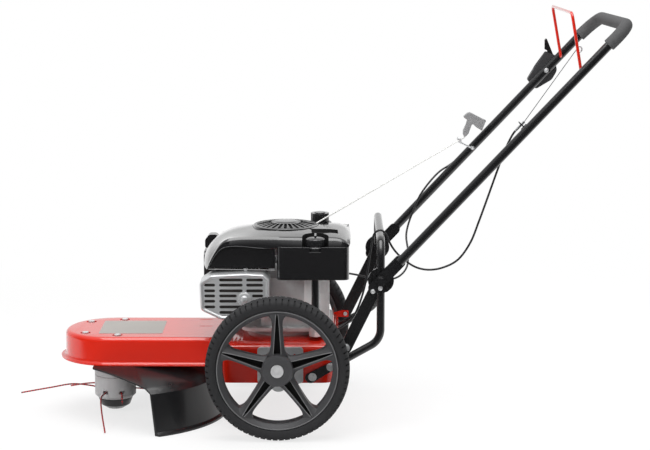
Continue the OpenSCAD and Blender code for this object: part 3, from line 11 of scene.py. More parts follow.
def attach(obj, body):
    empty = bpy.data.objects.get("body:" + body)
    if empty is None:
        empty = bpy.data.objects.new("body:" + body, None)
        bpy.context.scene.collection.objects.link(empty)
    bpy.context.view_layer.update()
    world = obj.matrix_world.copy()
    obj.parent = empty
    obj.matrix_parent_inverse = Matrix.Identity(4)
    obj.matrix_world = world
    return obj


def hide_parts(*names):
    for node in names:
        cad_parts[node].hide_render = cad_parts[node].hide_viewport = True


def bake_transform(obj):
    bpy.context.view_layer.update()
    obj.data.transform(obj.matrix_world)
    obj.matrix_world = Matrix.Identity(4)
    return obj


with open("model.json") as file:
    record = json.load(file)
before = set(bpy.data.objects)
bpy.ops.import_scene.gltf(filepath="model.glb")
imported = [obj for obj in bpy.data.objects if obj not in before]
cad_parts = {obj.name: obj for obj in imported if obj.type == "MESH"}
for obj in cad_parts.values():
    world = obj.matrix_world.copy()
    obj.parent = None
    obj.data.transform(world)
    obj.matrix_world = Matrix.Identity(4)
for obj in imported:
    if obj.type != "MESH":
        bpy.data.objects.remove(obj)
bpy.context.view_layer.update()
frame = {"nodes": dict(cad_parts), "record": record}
NODES = frame["nodes"]
BODY_OF = {n: b for b, ns in frame["record"]["behaviour"]["bodies"].items() for n in ns}
MM = 0.001


# Camera

PICTURE_WIDE, SENSOR_WIDE, FOCAL_PIXELS = 650, 36, 1971
EYE_AT, EYE_DOWN, EYE_TURN = (0.148, -4.978, 1.355), 9.87, 0.38

eye = bpy.data.cameras.new("eye")
eye.sensor_fit = "HORIZONTAL"
eye.sensor_width = SENSOR_WIDE
eye.lens = SENSOR_WIDE * FOCAL_PIXELS / PICTURE_WIDE
eye.clip_end = 200
camera = bpy.data.objects.new("eye", eye)
camera.location = EYE_AT
camera.rotation_euler = (math.radians(90 - EYE_DOWN), 0, math.radians(EYE_TURN))
bpy.context.scene.collection.objects.link(camera)
bpy.context.scene.camera = camera


# Shader nodes


def set_inputs(tree, node, inputs):
    """Sets a node's inputs to values, or links them to other nodes' outputs."""
    for label, value in inputs.items():
        if isinstance(value, bpy.types.NodeSocket):
            tree.links.new(value, node.inputs[label])
        else:
            node.inputs[label].default_value = value


def put(tree, kind, inputs=None, **settings):
    """Adds a shader node with its settings and inputs, and gives its outputs."""
    node = tree.nodes.new("ShaderNode" + kind)
    for name, value in settings.items():
        setattr(node, name, value)
    set_inputs(tree, node, inputs or {})
    return node.outputs


def math_node(tree, operation, a, b=0, clamp=False):
    return put(tree, "Math", {0: a, 1: b}, operation=operation, use_clamp=clamp)[0]


def noise_node(tree, vector, scale, detail=3):
    return put(tree, "TexNoise", {"Vector": vector, "Scale": scale, "Detail": detail,
                                  "Roughness": 0.55})["Fac"]


def bump_node(tree, height, depth, strength=1):
    return put(tree, "Bump", {"Height": height, "Distance": depth * MM, "Strength": strength})[0]


def ramp_node(tree, value, start, end, low=0):
    """Rises smoothly from low to 1 between two values."""
    limits = {"From Min": start, "From Max": end, "To Min": low, "To Max": 1}
    return put(tree, "MapRange", {"Value": value, **limits}, interpolation_type="SMOOTHSTEP")[0]


# Shader groups shared by the finishes

# How much finer the second noise of a drift is, and how sharp the edge of a wound stripe
DRIFT_FINER, STRIPE_EDGE = 6, 2.5


def shader_group(name, inputs, outputs):
    """An empty node group with named sockets, its start's outputs and its end."""
    tree = bpy.data.node_groups.new(name, "ShaderNodeTree")
    for way, sockets in (("INPUT", inputs), ("OUTPUT", outputs)):
        for label, kind in sockets.items():
            tree.interface.new_socket(label, in_out=way, socket_type="NodeSocket" + kind)
    return tree, tree.nodes.new("NodeGroupInput").outputs, tree.nodes.new("NodeGroupOutput")


def drift_group():
    """Slow change of tone and gloss over a surface."""
    tree, start, end = shader_group(
        "tone_drift", {"Vector": "Vector", "Colour": "Color", "Scale": "Float", "Amount": "Float",
                       "Gloss": "Float", "Gloss Drift": "Float"},
        {"Colour": "Color", "Roughness": "Float"})
    broad = noise_node(tree, start["Vector"], start["Scale"])
    finer = math_node(tree, "MULTIPLY", start["Scale"], DRIFT_FINER)
    fine = noise_node(tree, start["Vector"], finer, 4)
    centred = math_node(tree, "SUBTRACT", math_node(tree, "ADD", broad, fine), 1)
    gain = math_node(tree, "ADD", math_node(tree, "MULTIPLY", centred, start["Amount"]), 1)
    tone = put(tree, "VectorMath", {0: start["Colour"], "Scale": gain}, operation="SCALE")[0]
    drift = math_node(tree, "MULTIPLY", centred, start["Gloss Drift"])
    gloss = math_node(tree, "ADD", start["Gloss"], drift, True)
    set_inputs(tree, end, {"Colour": tone, "Roughness": gloss})
    return tree


def grain_group():
    """Fine moulded or cast grain, as a height."""
    tree, start, end = shader_group(
        "fine_grain", {"Vector": "Vector", "Scale": "Float", "Pits": "Float"}, {"Height": "Float"})
    base = noise_node(tree, start["Vector"], start["Scale"], 2)
    cells = put(tree, "TexVoronoi", {"Vector": start["Vector"], "Scale": start["Scale"]})
    pits = math_node(tree, "MULTIPLY", cells["Distance"], start["Pits"])
    set_inputs(tree, end, {"Height": math_node(tree, "ADD", base, pits)})
    return tree


def streak_group():
    """Drawn streaks along one direction, as a height."""
    tree, start, end = shader_group(
        "drawn_streaks", {"Vector": "Vector", "Stretch": "Vector"}, {"Height": "Float"})
    place = put(tree, "VectorMath", {0: start["Vector"], 1: start["Stretch"]}, operation="MULTIPLY")
    set_inputs(tree, end, {"Height": noise_node(tree, place[0], 1)})
    return tree


def twist_group():
    """Two colours wound round a cord, read from its own along and around values."""
    tree, start, end = shader_group(
        "wound_stripe", {"Along": "Float", "Around": "Float", "Turns": "Float"}, {"Mask": "Float"})
    turns = math_node(tree, "MULTIPLY", start["Along"], start["Turns"])
    phase = math_node(tree, "ADD", turns, start["Around"])
    wave = math_node(tree, "SINE", math_node(tree, "MULTIPLY", phase, math.tau))
    soft = math_node(tree, "ADD", math_node(tree, "MULTIPLY", wave, STRIPE_EDGE), 0.5, True)
    set_inputs(tree, end, {"Mask": soft})
    return tree


DRIFT = drift_group()
GRAIN = grain_group()
STREAK = streak_group()
TWIST = twist_group()


# Finishes

GRAIN_STRENGTH, STRIPE_DEEP = 0.6, 0.3


def new_material(name):
    """A material, its node tree and its main shader."""
    material = bpy.data.materials.new(name)
    material.use_nodes = True
    return material, material.node_tree, material.node_tree.nodes["Principled BSDF"]


def finish(name, colour, gloss, metal=0, coat=0, drift=(9, 0.1, 0.08), grain=None,
           specular=0.5, streak=None, coat_gloss=0.06, coat_ior=1.5):
    """A surface finish on Object coordinates.

    A drift is a scale, a change of tone and a change of gloss. A grain is a scale, a depth in
    millimetres and a share of pits. A streak is a stretch and a depth."""
    material, tree, shader = new_material(name)
    place = put(tree, "TexCoord")["Object"]
    tone = put(tree, "Group", {"Vector": place, "Colour": (*colour, 1), "Scale": drift[0],
                               "Amount": drift[1], "Gloss": gloss, "Gloss Drift": drift[2]},
               node_tree=DRIFT)
    set_inputs(tree, shader, {
        "Base Color": tone["Colour"], "Roughness": tone["Roughness"], "Metallic": metal,
        "Specular IOR Level": specular, "Coat Weight": coat, "Coat Roughness": coat_gloss,
        "Coat IOR": coat_ior})
    if grain:
        skin = put(tree, "Group", {"Vector": place, "Scale": grain[0], "Pits": grain[2]},
                   node_tree=GRAIN)
    elif streak:
        skin = put(tree, "Group", {"Vector": place, "Stretch": streak[0]}, node_tree=STREAK)
    if grain or streak:
        raised = bump_node(tree, skin["Height"], (grain or streak)[1], GRAIN_STRENGTH)
        set_inputs(tree, shader, {"Normal": raised})
    return material


def stripe_finish(name, first, second, turns, gloss):
    """A cord of two colours wound round each other."""
    material, tree, shader = new_material(name)
    along, around = (put(tree, "Attribute", attribute_name=label)["Fac"]
                     for label in ("along", "around"))
    mask = put(tree, "Group", {"Along": along, "Around": around, "Turns": turns},
               node_tree=TWIST)["Mask"]
    colour = put(tree, "Mix", {0: mask, 6: (*first, 1), 7: (*second, 1)}, data_type="RGBA")[2]
    set_inputs(tree, shader, {"Base Color": colour, "Roughness": gloss,
                              "Normal": bump_node(tree, mask, STRIPE_DEEP)})
    return material


BLACK = (0.01, 0.01, 0.011)
RED_PAINT = finish(
    "red_deck_paint", (0.64, 0.016, 0.004), 0.24, coat=1, drift=(5, 0.05, 0.05),
    grain=(160, 0.03, 0), specular=0.2, coat_gloss=0.05, coat_ior=1.6)
BLACK_PAINT = finish(
    "black_tube_paint", BLACK, 0.24, coat=0.6, grain=(260, 0.015, 0), coat_gloss=0.1)
BLACK_SHELL = finish(
    "black_engine_shell", BLACK, 0.24, coat=1, grain=(1100, 0.015, 0.2), coat_gloss=0.1)
SHIELD_SKIN = finish(
    "black_shield_skin", BLACK, 0.3, coat=0.2, specular=0.35, grain=(500, 0.03, 0.3),
    coat_gloss=0.12)
DARK_MOULD = finish(
    "dark_wheel_mould", (0.052, 0.052, 0.055), 0.46, drift=(14, 0.12, 0.08), grain=(900, 0.06, 0.4))
LIGHT_MOULD = {"drift": (20, 0.1, 0.08), "grain": (420, 0.03, 0.4)}
GREY_MOULD = finish("grey_grip_mould", (0.27, 0.27, 0.275), 0.45, **LIGHT_MOULD)
PALE_MOULD = finish("pale_head_mould", (0.44, 0.44, 0.445), 0.42, **LIGHT_MOULD)
TREAD = finish(
    "tyre_rubber", (0.022, 0.022, 0.0235), 0.78, drift=(22, 0.22, 0.1), grain=(700, 0.12, 0.5),
    specular=0.35)
FOAM = finish(
    "grip_foam", (0.085, 0.085, 0.087), 0.8, drift=(30, 0.16, 0.05), grain=(1500, 0.22, 0.9),
    specular=0.3)
ZINC = finish("bright_zinc", (0.74, 0.75, 0.76), 0.3, metal=0.55, drift=(60, 0.1, 0.16))
STEEL = finish("drawn_steel", (0.56, 0.57, 0.58), 0.34, metal=1, streak=((30, 900, 900), 0.03))
PLATE_STEEL = finish(
    "galvanised_plate", (0.62, 0.63, 0.64), 0.45, metal=0.4, drift=(45, 0.18, 0.15))
CAST = finish(
    "cast_alloy", (0.7, 0.705, 0.71), 0.42, metal=0.3, drift=(26, 0.16, 0.12),
    grain=(520, 0.16, 0.6))
# A lighter alloy for the crankcase's rear column, brightened further as painted light, since the
# tank shades it
COLUMN_ALLOY_PAINTED_LIT = finish(
    "column_alloy_painted_lit", (0.92, 0.92, 0.92), 0.5, metal=0.1, drift=(26, 0.1, 0.1),
    grain=(520, 0.08, 0.5))
SILVER_PRESS = finish(
    "silver_pressing", (0.64, 0.65, 0.66), 0.32, metal=0.5, drift=(18, 0.08, 0.08),
    grain=(900, 0.03, 0.2))
BELT_RUBBER = finish("belt_rubber", (0.022, 0.022, 0.022), 0.8, grain=(800, 0.1, 0.5))
CABLE_SKIN = finish("cable_skin", (0.02, 0.02, 0.021), 0.42, grain=(900, 0.04, 0.2))
LINE_TWIST = stripe_finish("trimmer_line", (0.62, 0.02, 0.022), (0.035, 0.01, 0.012), 140, 0.35)
ROPE_BRAID = stripe_finish("braided_rope", (0.9, 0.9, 0.88), (0.78, 0.78, 0.76), 200, 0.8)
BARE_PANEL = finish(
    "bare_deck_panel", (0.36, 0.34, 0.32), 0.55, drift=(30, 0.1, 0.06), grain=(700, 0.05, 0.3))
# Painted highlight: a lighter grey for the wheels' ridges and the rim's bead, where they would
# catch the light
RIDGE_PAINTED_HIGHLIGHT = finish("wheel_ridge_painted_highlight", (0.16, 0.16, 0.165), 0.34, drift=(14, 0.12, 0.08))
HOT_STEEL = finish("hot_muffler_steel", (0.1, 0.09, 0.085), 0.55, metal=0.7, drift=(24, 0.3, 0.15))
# Painted shade: near black for the wheels' channels, the shroud's wells and pocket, and the disc
# under the grille's slots
RECESS_PAINTED_SHADE = finish("recess_painted_shade", (0.006, 0.006, 0.006), 0.75, grain=(700, 0.05, 0.3))


# Making pieces

# Angle in degrees below which faces count as one flat face, and distance at which points merge
FLAT_WITHIN, MERGE_WITHIN = 0.6, 2e-5
# Steps of a rounded corner, and of a slot's round end
CORNER_STEPS, SLOT_STEPS = 6, 5


def mm(*values):
    """A point or size given in millimetres."""
    return Vector(values) * MM


def put_at(x, y, z):
    return Matrix.Translation(mm(x, y, z))


def spun(degrees, axis):
    return Matrix.Rotation(math.radians(degrees), 4, axis)


def moved(bm, matrix):
    bmesh.ops.transform(bm, matrix=matrix, verts=bm.verts)
    return bm


def sharpen(bm, angle):
    """Smooth faces with hard edges where the surface turns."""
    limit = math.radians(angle)
    for face in bm.faces:
        face.smooth = True
    for edge in bm.edges:
        edge.smooth = not (len(edge.link_faces) == 2 and edge.calc_face_angle(0) > limit)


def piece(name, bm, material, nodes=(), body=None, bevel=0, segments=2, angle=32, bends=None):
    """Turns a bmesh into a piece that rides on a body and stands for its CAD nodes.

    A list of finishes is taken by the material numbers of the faces. A piece that bends is left on
    no body, with its place baked into its points; the bodies and points of its bend are not read."""
    sharpen(bm, angle)
    mesh = bpy.data.meshes.new(name)
    bm.to_mesh(mesh)
    bm.free()
    for layer in material if isinstance(material, list) else [material]:
        mesh.materials.append(layer)
    obj = bpy.data.objects.new(name, mesh)
    bpy.context.scene.collection.objects.link(obj)
    if bevel:
        round_edges = obj.modifiers.new("round_edges", "BEVEL")
        round_edges.width = bevel * MM
        round_edges.segments = segments
        round_edges.limit_method = "ANGLE"
        round_edges.angle_limit = math.radians(angle)
        round_edges.harden_normals = True
    if nodes:
        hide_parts(*nodes)
        body = body or BODY_OF[nodes[0]]
    if bends:
        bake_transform(obj)
    else:
        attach(obj, body)
    return obj


def tidy(bm, distance=1e-5):
    bmesh.ops.remove_doubles(bm, verts=bm.verts, dist=distance)
    bmesh.ops.recalc_face_normals(bm, faces=bm.faces)


def joined(bm, *others):
    """Adds other bmeshes to the first."""
    for other in others:
        mesh = bpy.data.meshes.new("joined")
        other.to_mesh(mesh)
        other.free()
        bm.from_mesh(mesh)
        bpy.data.meshes.remove(mesh)
    return bm


def faces_where(bm, test):
    """The faces whose middle, in millimetres, passes a test."""
    return [face for face in bm.faces if test(face.calc_center_median() / MM)]


def set_finish(faces, number):
    """Gives faces the finish of a number in their piece's list."""
    for face in faces:
        face.material_index = number


def cad_mesh(node):
    """A copy of a CAD node, merged."""
    bm = bmesh.new()
    bm.from_mesh(NODES[node].data)
    bmesh.ops.remove_doubles(bm, verts=bm.verts, dist=MERGE_WITHIN)
    return bm


def whole_faces(bm):
    """Joins the triangles of each flat face."""
    bmesh.ops.dissolve_limit(bm, angle_limit=math.radians(FLAT_WITHIN), verts=bm.verts,
                             edges=bm.edges)
    return bm


def whole_of(bm):
    return bm.verts[:] + bm.edges[:] + bm.faces[:]


def cut_by_plane(bm, point, normal, **clear):
    bmesh.ops.bisect_plane(bm, geom=whole_of(bm), dist=1e-6, plane_co=point, plane_no=normal,
                           **clear)


def fill_ends(bm):
    bmesh.ops.holes_fill(bm, edges=[e for e in bm.edges if e.is_boundary], sides=0)


def edge_loop(bm, points):
    """A closed loop of edges through points."""
    verts = [bm.verts.new(point) for point in points]
    return [bm.edges.new((verts[i - 1], verts[i])) for i in range(len(verts))]


def bridged(bm, chains):
    """Spans the gap between each chain of edges and the next, and gives the faces of each gap."""
    return [bmesh.ops.bridge_loops(bm, edges=one + two)["faces"]
            for one, two in zip(chains, chains[1:])]


def curve_through(points, between):
    """Points of a smooth curve through a route."""
    last = len(points) - 1
    out = []
    for i in range(last):
        a, b, c, d = (points[max(i - 1, 0)], points[i], points[i + 1], points[min(i + 2, last)])
        for j in range(between):
            t = j / between
            out.append(0.5 * (2 * b + (c - a) * t + (2 * a - 5 * b + 4 * c - d) * t * t
                              + (3 * b - a - 3 * c + d) * t ** 3))
    out.append(points[last])
    return out


def round_corner(before, corner, after, radius, steps):
    """Points of the arc that rounds a corner."""
    u = (before - corner).normalized()
    v = (after - corner).normalized()
    half = u.angle(v) / 2
    reach = radius / math.tan(half)
    centre = corner + (u + v).normalized() * (radius / math.sin(half))
    first = corner + u * reach - centre
    axis, angle = first.rotation_difference(corner + v * reach - centre).to_axis_angle()
    return [centre + Matrix.Rotation(angle * k / steps, 3, axis) @ first for k in range(steps + 1)]


def bent(points, radii, steps=10):
    """A path whose corners are rounded, each to its radius."""
    out = [points[0]]
    for i, radius in enumerate(radii, 1):
        out += round_corner(points[i - 1], points[i], points[i + 1], radius, steps)
    return out + [points[-1]]


def rounded_loop(points, radii):
    """A closed outline with rounded corners, all alike or each with its radius."""
    corners = [Vector((x, y, 0)) for x, y in points]
    out = []
    for i, corner in enumerate(corners):
        radius = radii[i] if isinstance(radii, list) else radii
        out += round_corner(corners[i - 1], corner, corners[(i + 1) % len(corners)], radius,
                            CORNER_STEPS)
    return [(point.x, point.y) for point in out]


def arc(cx, cy, r, a0, a1, steps):
    turns = [math.radians(a0 + (a1 - a0) * i / steps) for i in range(steps + 1)]
    return [(cx + r * math.cos(turn), cy + r * math.sin(turn)) for turn in turns]


def slot_loop(x, y, length, width):
    half = (length - width) / 2
    return (arc(x + half, y, width / 2, -90, 90, SLOT_STEPS)
            + arc(x - half, y, width / 2, 90, 270, SLOT_STEPS))


def rectangle(ends, half):
    return [(ends[0], -half), (ends[1], -half), (ends[1], half), (ends[0], half)]


def swept(path, radius, sides):
    """A round bar drawn along a path, with its length and turn kept on its points."""
    bm = bmesh.new()
    along = bm.verts.layers.float.new("along")
    around = bm.verts.layers.float.new("around")
    ways = [(after - before).normalized()
            for before, after in zip(path[:1] + path[:-1], path[1:] + path[-1:])]
    spin = ways[0].to_track_quat("Z", "Y")
    place = Matrix.Translation(path[0]) @ spin.to_matrix().to_4x4()
    ring = bmesh.ops.create_circle(bm, segments=sides, radius=radius, matrix=place)["verts"]
    for k, vert in enumerate(ring):
        vert[around] = k / sides
    edges = bm.edges[:]
    length = 0
    for i in range(1, len(path)):
        grown = bmesh.ops.extrude_edge_only(bm, edges=edges)["geom"]
        verts = [g for g in grown if isinstance(g, bmesh.types.BMVert)]
        edges = [g for g in grown if isinstance(g, bmesh.types.BMEdge)]
        length += (path[i] - path[i - 1]).length
        spin = ways[i - 1].rotation_difference(ways[i]) @ spin
        fresh = Matrix.Translation(path[i]) @ spin.to_matrix().to_4x4()
        bmesh.ops.transform(bm, matrix=fresh @ place.inverted(), verts=verts)
        for vert in verts:
            vert[along] = length
        place = fresh
    fill_ends(bm)
    tidy(bm, 1e-7)
    return bm


def turned(profile, steps=96):
    """A shape turned round the Z axis from a profile of radius and height in millimetres."""
    bm = bmesh.new()
    verts = [bm.verts.new(mm(r, 0, z)) for r, z in profile]
    edges = [bm.edges.new(pair) for pair in zip(verts, verts[1:])]
    bmesh.ops.spin(bm, geom=verts + edges, axis=(0, 0, 1), cent=(0, 0, 0), angle=math.tau,
                   steps=steps, use_merge=True)
    tidy(bm)
    return bm


def both_halves(profile):
    """A profile and its mirror below the middle."""
    return profile + [(r, -z) for r, z in reversed(profile)]


def flat_plate(outline, holes, thick):
    """A sheet cut to an outline with holes, lying in XY and centred on its thickness."""
    curve = bpy.data.curves.new("cut_sheet", "CURVE")
    curve.dimensions = "2D"
    curve.fill_mode = "BOTH"
    curve.extrude = thick * MM / 2
    for loop in [outline] + holes:
        spline = curve.splines.new("POLY")
        spline.points.add(len(loop) - 1)
        spline.use_cyclic_u = True
        for point, (x, y) in zip(spline.points, loop):
            point.co = (x * MM, y * MM, 0, 1)
    holder = bpy.data.objects.new("cut_sheet", curve)
    mesh = bpy.data.meshes.new_from_object(holder)
    bm = bmesh.new()
    bm.from_mesh(mesh)
    bpy.data.objects.remove(holder)
    bpy.data.curves.remove(curve)
    bpy.data.meshes.remove(mesh)
    tidy(bm)
    return bm


def facing_left(y):
    """Stands a shape drawn in XY upright, its face towards the left side of the machine."""
    return put_at(0, y, 0) @ spun(90, "X")


def stood_plate(outline, rounds, y, thick):
    """A plate cut to an outline of X and Z, standing at a distance from the middle."""
    return moved(flat_plate(rounded_loop(outline, rounds), [], thick), facing_left(y))


# A flanged bolt with a domed head, as radius and height over its seat
BOLT_SECTION = [
    (0, 9.7), (4.4, 9.3), (7.4, 7.9), (9, 5.7), (9.4, 3.7), (15, 2.9), (16.6, 1.7), (17, 0), (6, 0),
    (6, -14.7), (0, -14.7)]


def bolt_mesh(scale, steps):
    return turned([(r * scale, z * scale) for r, z in BOLT_SECTION], steps)


def bolt_head(seat, scale=1):
    """A bolt whose head faces the left side, set on its seat."""
    return moved(bolt_mesh(scale, steps=48), put_at(*seat) @ spun(90, "X"))


# Cords: the trimmer lines, two cables and the starter's rope

LINE_R, CABLE_R, ROPE_R, CORD_SIDES = 1.95, 2.6, 2, 12
LINE_BETWEEN, CABLE_BETWEEN, ROPE_BETWEEN = 10, 6, 24
LINES = {
    "line_front": [(-474, 7, 58), (-500, 12, 62), (-545, 14, 65), (-600, 8, 57), (-676, 0, 45)],
    "line_far": [(-458, 35, 58), (-475, 60, 56), (-515, 95, 46), (-566, 146, 26)],
    "line_near": [(-448, -41, 58), (-452, -62, 58), (-457, -95, 54), (-449, -150, 33),
                  (-432, -230, 3)],
    "line_stub": [(-412, -41, 58), (-408, -54, 55), (-407, -60, 46), (-406, -61, 32)],
    "line_rear": [(-385, 2, 58), (-350, -2, 56), (-300, -14, 48), (-222, -30, 40)],
}
BAIL_ROUTE = [
    (579, -219, 760), (570, -218, 746), (556, -215, 715), (538, -212, 664), (513, -211, 590),
    (494, -210, 535), (474, -208, 482), (445, -204, 439), (409, -200, 418), (372, -196, 411),
    (338, -192, 418), (306, -190, 440), (287, -189, 460), (275, -188, 480), (266, -186, 500),
    (252, -184, 508), (236, -181, 494), (227, -177, 440), (214, -174, 360), (190, -171, 292),
    (158, -162, 258), (130, -152, 244), (126, -150, 233), (126, -150, 220.4)]
THROTTLE_ROUTE = [
    (650, 263, 803), (630, 258, 784), (575, 256, 730), (521, 256, 672), (480, 255, 636),
    (450, 252, 611), (420, 240, 593), (393, 226, 567), (367, 220, 531), (350, 216, 492),
    (336, 208, 455), (330, 190, 425), (334, 160, 390), (330, 130, 354), (306, 106, 332),
    (270, 92, 328), (226, 84, 336), (180, 80, 346), (130, 80, 351), (83.5, 80, 350)]
ROPE_GUIDE = (480.8, 214, 687)
ROPE_ROUTE = [(92, 24, 489), ROPE_GUIDE]
# Where each of the three goes over from the chassis to the folding handlebar
BAIL_FOLD = (mm(260, -188, 450), mm(560, -215, 720))
THROTTLE_FOLD = (mm(290, 96, 330), mm(480, 255, 636))
ROPE_FOLD = (mm(130, 43, 508), mm(462, 205, 677))


def cord_piece(node, points, radius, material, between, folds=None):
    """A free cord; one that folds is left on no body, with its place baked into its points."""
    path = curve_through([mm(*point) for point in points], between)
    obj = piece(node + "_cord", swept(path, radius * MM, CORD_SIDES), material, (node,),
                bends=("chassis", "handlebar", *folds) if folds else None)


for node, points in LINES.items():
    cord_piece(node, points, LINE_R, LINE_TWIST, LINE_BETWEEN)
for node, points, folds in (("bail_cable", BAIL_ROUTE, BAIL_FOLD),
                            ("throttle_cable", THROTTLE_ROUTE, THROTTLE_FOLD)):
    cord_piece(node, points, CABLE_R, CABLE_SKIN, CABLE_BETWEEN,
               folds)
cord_piece("starter_rope", ROPE_ROUTE, ROPE_R, ROPE_BRAID, ROPE_BETWEEN,
           ROPE_FOLD)


# Wheels: all sections are radius and height over the wheel's middle plane

AXLE_Y, AXLE_Z = 270, 178
TYRE_HALF = [
    (150.3, 26), (152, 30.6), (155, 33), (159.5, 34.6), (164, 35), (168, 34.4), (171.6, 32.4),
    (174.4, 29.2), (176.3, 24.5), (177.3, 18.5), (177.8, 11), (178, 4)]
LUGS, LUG_STEPS = 72, 4
LUG_FROM_Z, LUG_TO_Z, LUG_FROM_R, LUG_LAND, LUG_DEEP = 10.5, 34.6, 168.5, 0.5, 4.2
RIM_HALF = [
    (150, 0), (150, 26.6), (149.4, 28), (148, 28.6), (146.8, 28.2), (145.8, 26.8), (144.6, 25.2),
    (138.6, 18.6), (136.6, 16.8), (135.6, 14.6), (136.2, 12.2), (139, 8.5), (140, 5), (140, 0)]
RIM_RIDGE_Z = 27.6
HUB_HALF = [
    (8.1, 0), (8.1, 28.9), (16.4, 28.9), (16.4, 31), (17.4, 31.8), (20, 32), (28, 31.2), (33, 31.2),
    (34.2, 31.9), (36.2, 32), (38, 31.2), (39, 29.2), (39, 0)]
HUB_CAP = [
    (0, 34.2), (5.6, 34.1), (6.6, 33.4), (8.2, 33.1), (12.4, 33.2), (13.6, 33.9), (15, 33.9),
    (15.9, 33), (16, 29.3), (0, 29.3)]
# A spoke's outline and the outline of its channel, as radius and half width
SPOKE_EDGE = [
    (34, 27), (38, 22.6), (42, 20), (47, 18.4), (60, 16.8), (80, 14.9), (100, 13.4), (113, 13),
    (122, 13.9), (129, 16.6), (134.4, 21), (138, 26.6), (141, 34)]
SPOKE_CHANNEL = [
    (36, 3.4), (36.2, 6.2), (37.6, 8), (42, 8.4), (54, 7.6), (68, 6.8), (84, 5.8), (100, 4.8),
    (113, 3.9), (124, 3.1), (133, 2.3), (139.4, 1.5), (142.4, 0.7)]
# Loops of a spoke, from its middle up: outline, how much wider it is, height at the hub and at the
# rim, and the finish of the faces below: 1 for the ridges, with a painted highlight, 2 for the
# channel, painted dark as shade
SPOKE_LOOPS = [
    (SPOKE_EDGE, 0, 0, 0, 0), (SPOKE_EDGE, 0, 8, 15.5, 0),
    (SPOKE_EDGE, -1.6, 9.4, 16.8, 0), (SPOKE_CHANNEL, 2.2, 16.6, 24, 0),
    (SPOKE_CHANNEL, 1.7, 17.3, 24.7, 1), (SPOKE_CHANNEL, 0.7, 17.6, 25, 1),
    (SPOKE_CHANNEL, 0, 16.6, 24, 1), (SPOKE_CHANNEL, -0.3, 3, 9, 2)]
SPOKES, SPOKE_FROM_R, SPOKE_RUN = 5, 39, 102


def wheel_place(side):
    """Stands a wheel that was turned round Z on its axle, its outer face outwards."""
    return put_at(0, side * AXLE_Y, AXLE_Z) @ spun(-90 * side, "X")


def tyre_mesh():
    """A ribbed tyre: a turned section whose shoulders are cut into lugs."""
    section = both_halves(TYRE_HALF)
    bm = turned(section + section[:1], LUGS * LUG_STEPS)
    for side, groove in ((-1, LUG_STEPS // 2), (1, 0)):
        def in_groove(mid):
            turn = math.atan2(mid.y, mid.x) % math.tau / math.tau
            return (LUG_FROM_Z < mid.z * side < LUG_TO_Z and mid.to_2d().length >= LUG_FROM_R
                    and int(turn * LUGS * LUG_STEPS) % LUG_STEPS == groove)

        bmesh.ops.inset_region(bm, faces=faces_where(bm, in_groove), thickness=LUG_LAND * MM,
                               depth=-LUG_DEEP * MM, use_even_offset=True)
    return bm


def spoke_mesh():
    """One spoke: sloped flanks up to two ridges, with a deep channel between them."""
    bm = bmesh.new()
    loops = []
    for outline, widen, low, high, _ in SPOKE_LOOPS:
        right = [(w + widen, r, low + (high - low) * (r - SPOKE_FROM_R) / SPOKE_RUN)
                 for r, w in outline]
        left = [(-x, y, z) for x, y, z in reversed(right)]
        loops.append(edge_loop(bm, [mm(*point) for point in right + left]))
    bands = bridged(bm, loops)
    bands.append(bmesh.ops.contextual_create(bm, geom=loops[-1])["faces"])
    for band, row in zip(bands, SPOKE_LOOPS[1:] + SPOKE_LOOPS[-1:]):
        set_finish(band, row[-1])
    bmesh.ops.mirror(bm, geom=whole_of(bm), axis="Z", merge_dist=1e-6)
    tidy(bm)
    return bm


def rim_mesh():
    bm = turned(both_halves(RIM_HALF), steps=120)
    # The rim's bead faces take the painted highlight of the ridges
    set_finish(faces_where(bm, lambda mid: abs(mid.z) > RIM_RIDGE_Z), 1)
    spokes = spoke_mesh()
    bmesh.ops.spin(spokes, geom=whole_of(spokes), axis=(0, 0, 1), cent=(0, 0, 0),
                   angle=math.tau * (SPOKES - 1) / SPOKES, steps=SPOKES - 1, use_duplicate=True)
    return joined(bm, turned(both_halves(HUB_HALF), steps=64), spokes)


# Each rim has a painted highlight on its ridges and painted shade in its spokes' channels
for side, name in ((-1, "left"), (1, "right")):
    for label, bm, material in (("tyre", tyre_mesh(), TREAD),
                                ("rim", rim_mesh(), [DARK_MOULD, RIDGE_PAINTED_HIGHLIGHT, RECESS_PAINTED_SHADE]),
                                ("hub_cap", turned(HUB_CAP, steps=48), PALE_MOULD)):
        piece(f"{name}_{label}_piece", moved(bm, wheel_place(side)), material,
              (f"{name}_{label}",), angle=38)


# Muffler guard: a pressed cover with a raised rim and rows of slots

GUARD_OUTLINE = [
    (-197, 374), (-168, 392.6), (-82.6, 397), (-37, 394.2), (-21.6, 379.8), (-23.3, 282),
    (-143, 278), (-194.5, 302.5)]
GUARD_ROUND = [16, 26, 60, 12, 12, 14, 30, 16]
# Inset and depth of the pressed wall's loops, from its back edge to the face
GUARD_RIM = [
    (0, -112), (0, -168), (0.3, -172), (1.4, -175.6), (3.4, -177.8), (5.4, -178), (7.2, -177),
    (8.8, -175.2), (10.2, -174.4)]
GUARD_FACE_IN, GUARD_FACE_Y, GUARD_FACE_T = 9.4, -173.8, 1.8
GUARD_ROWS = [380, 367, 352.5, 339.5, 326, 311.5, 297.5]
GUARD_COLUMNS = [(-184.5, -157.4), (-147.4, -88.7), (-80, -38)]
SLOT_HIGH = 7.4
GUARD_BOLT, GUARD_BOLT_SEAT, GUARD_BOLT_CLEAR = (-84.6, 331.7), -174.7, 19
TAB_BOLT, TAB_BOLT_SCALE = (-82.4, -144.7, 403.7), 0.34


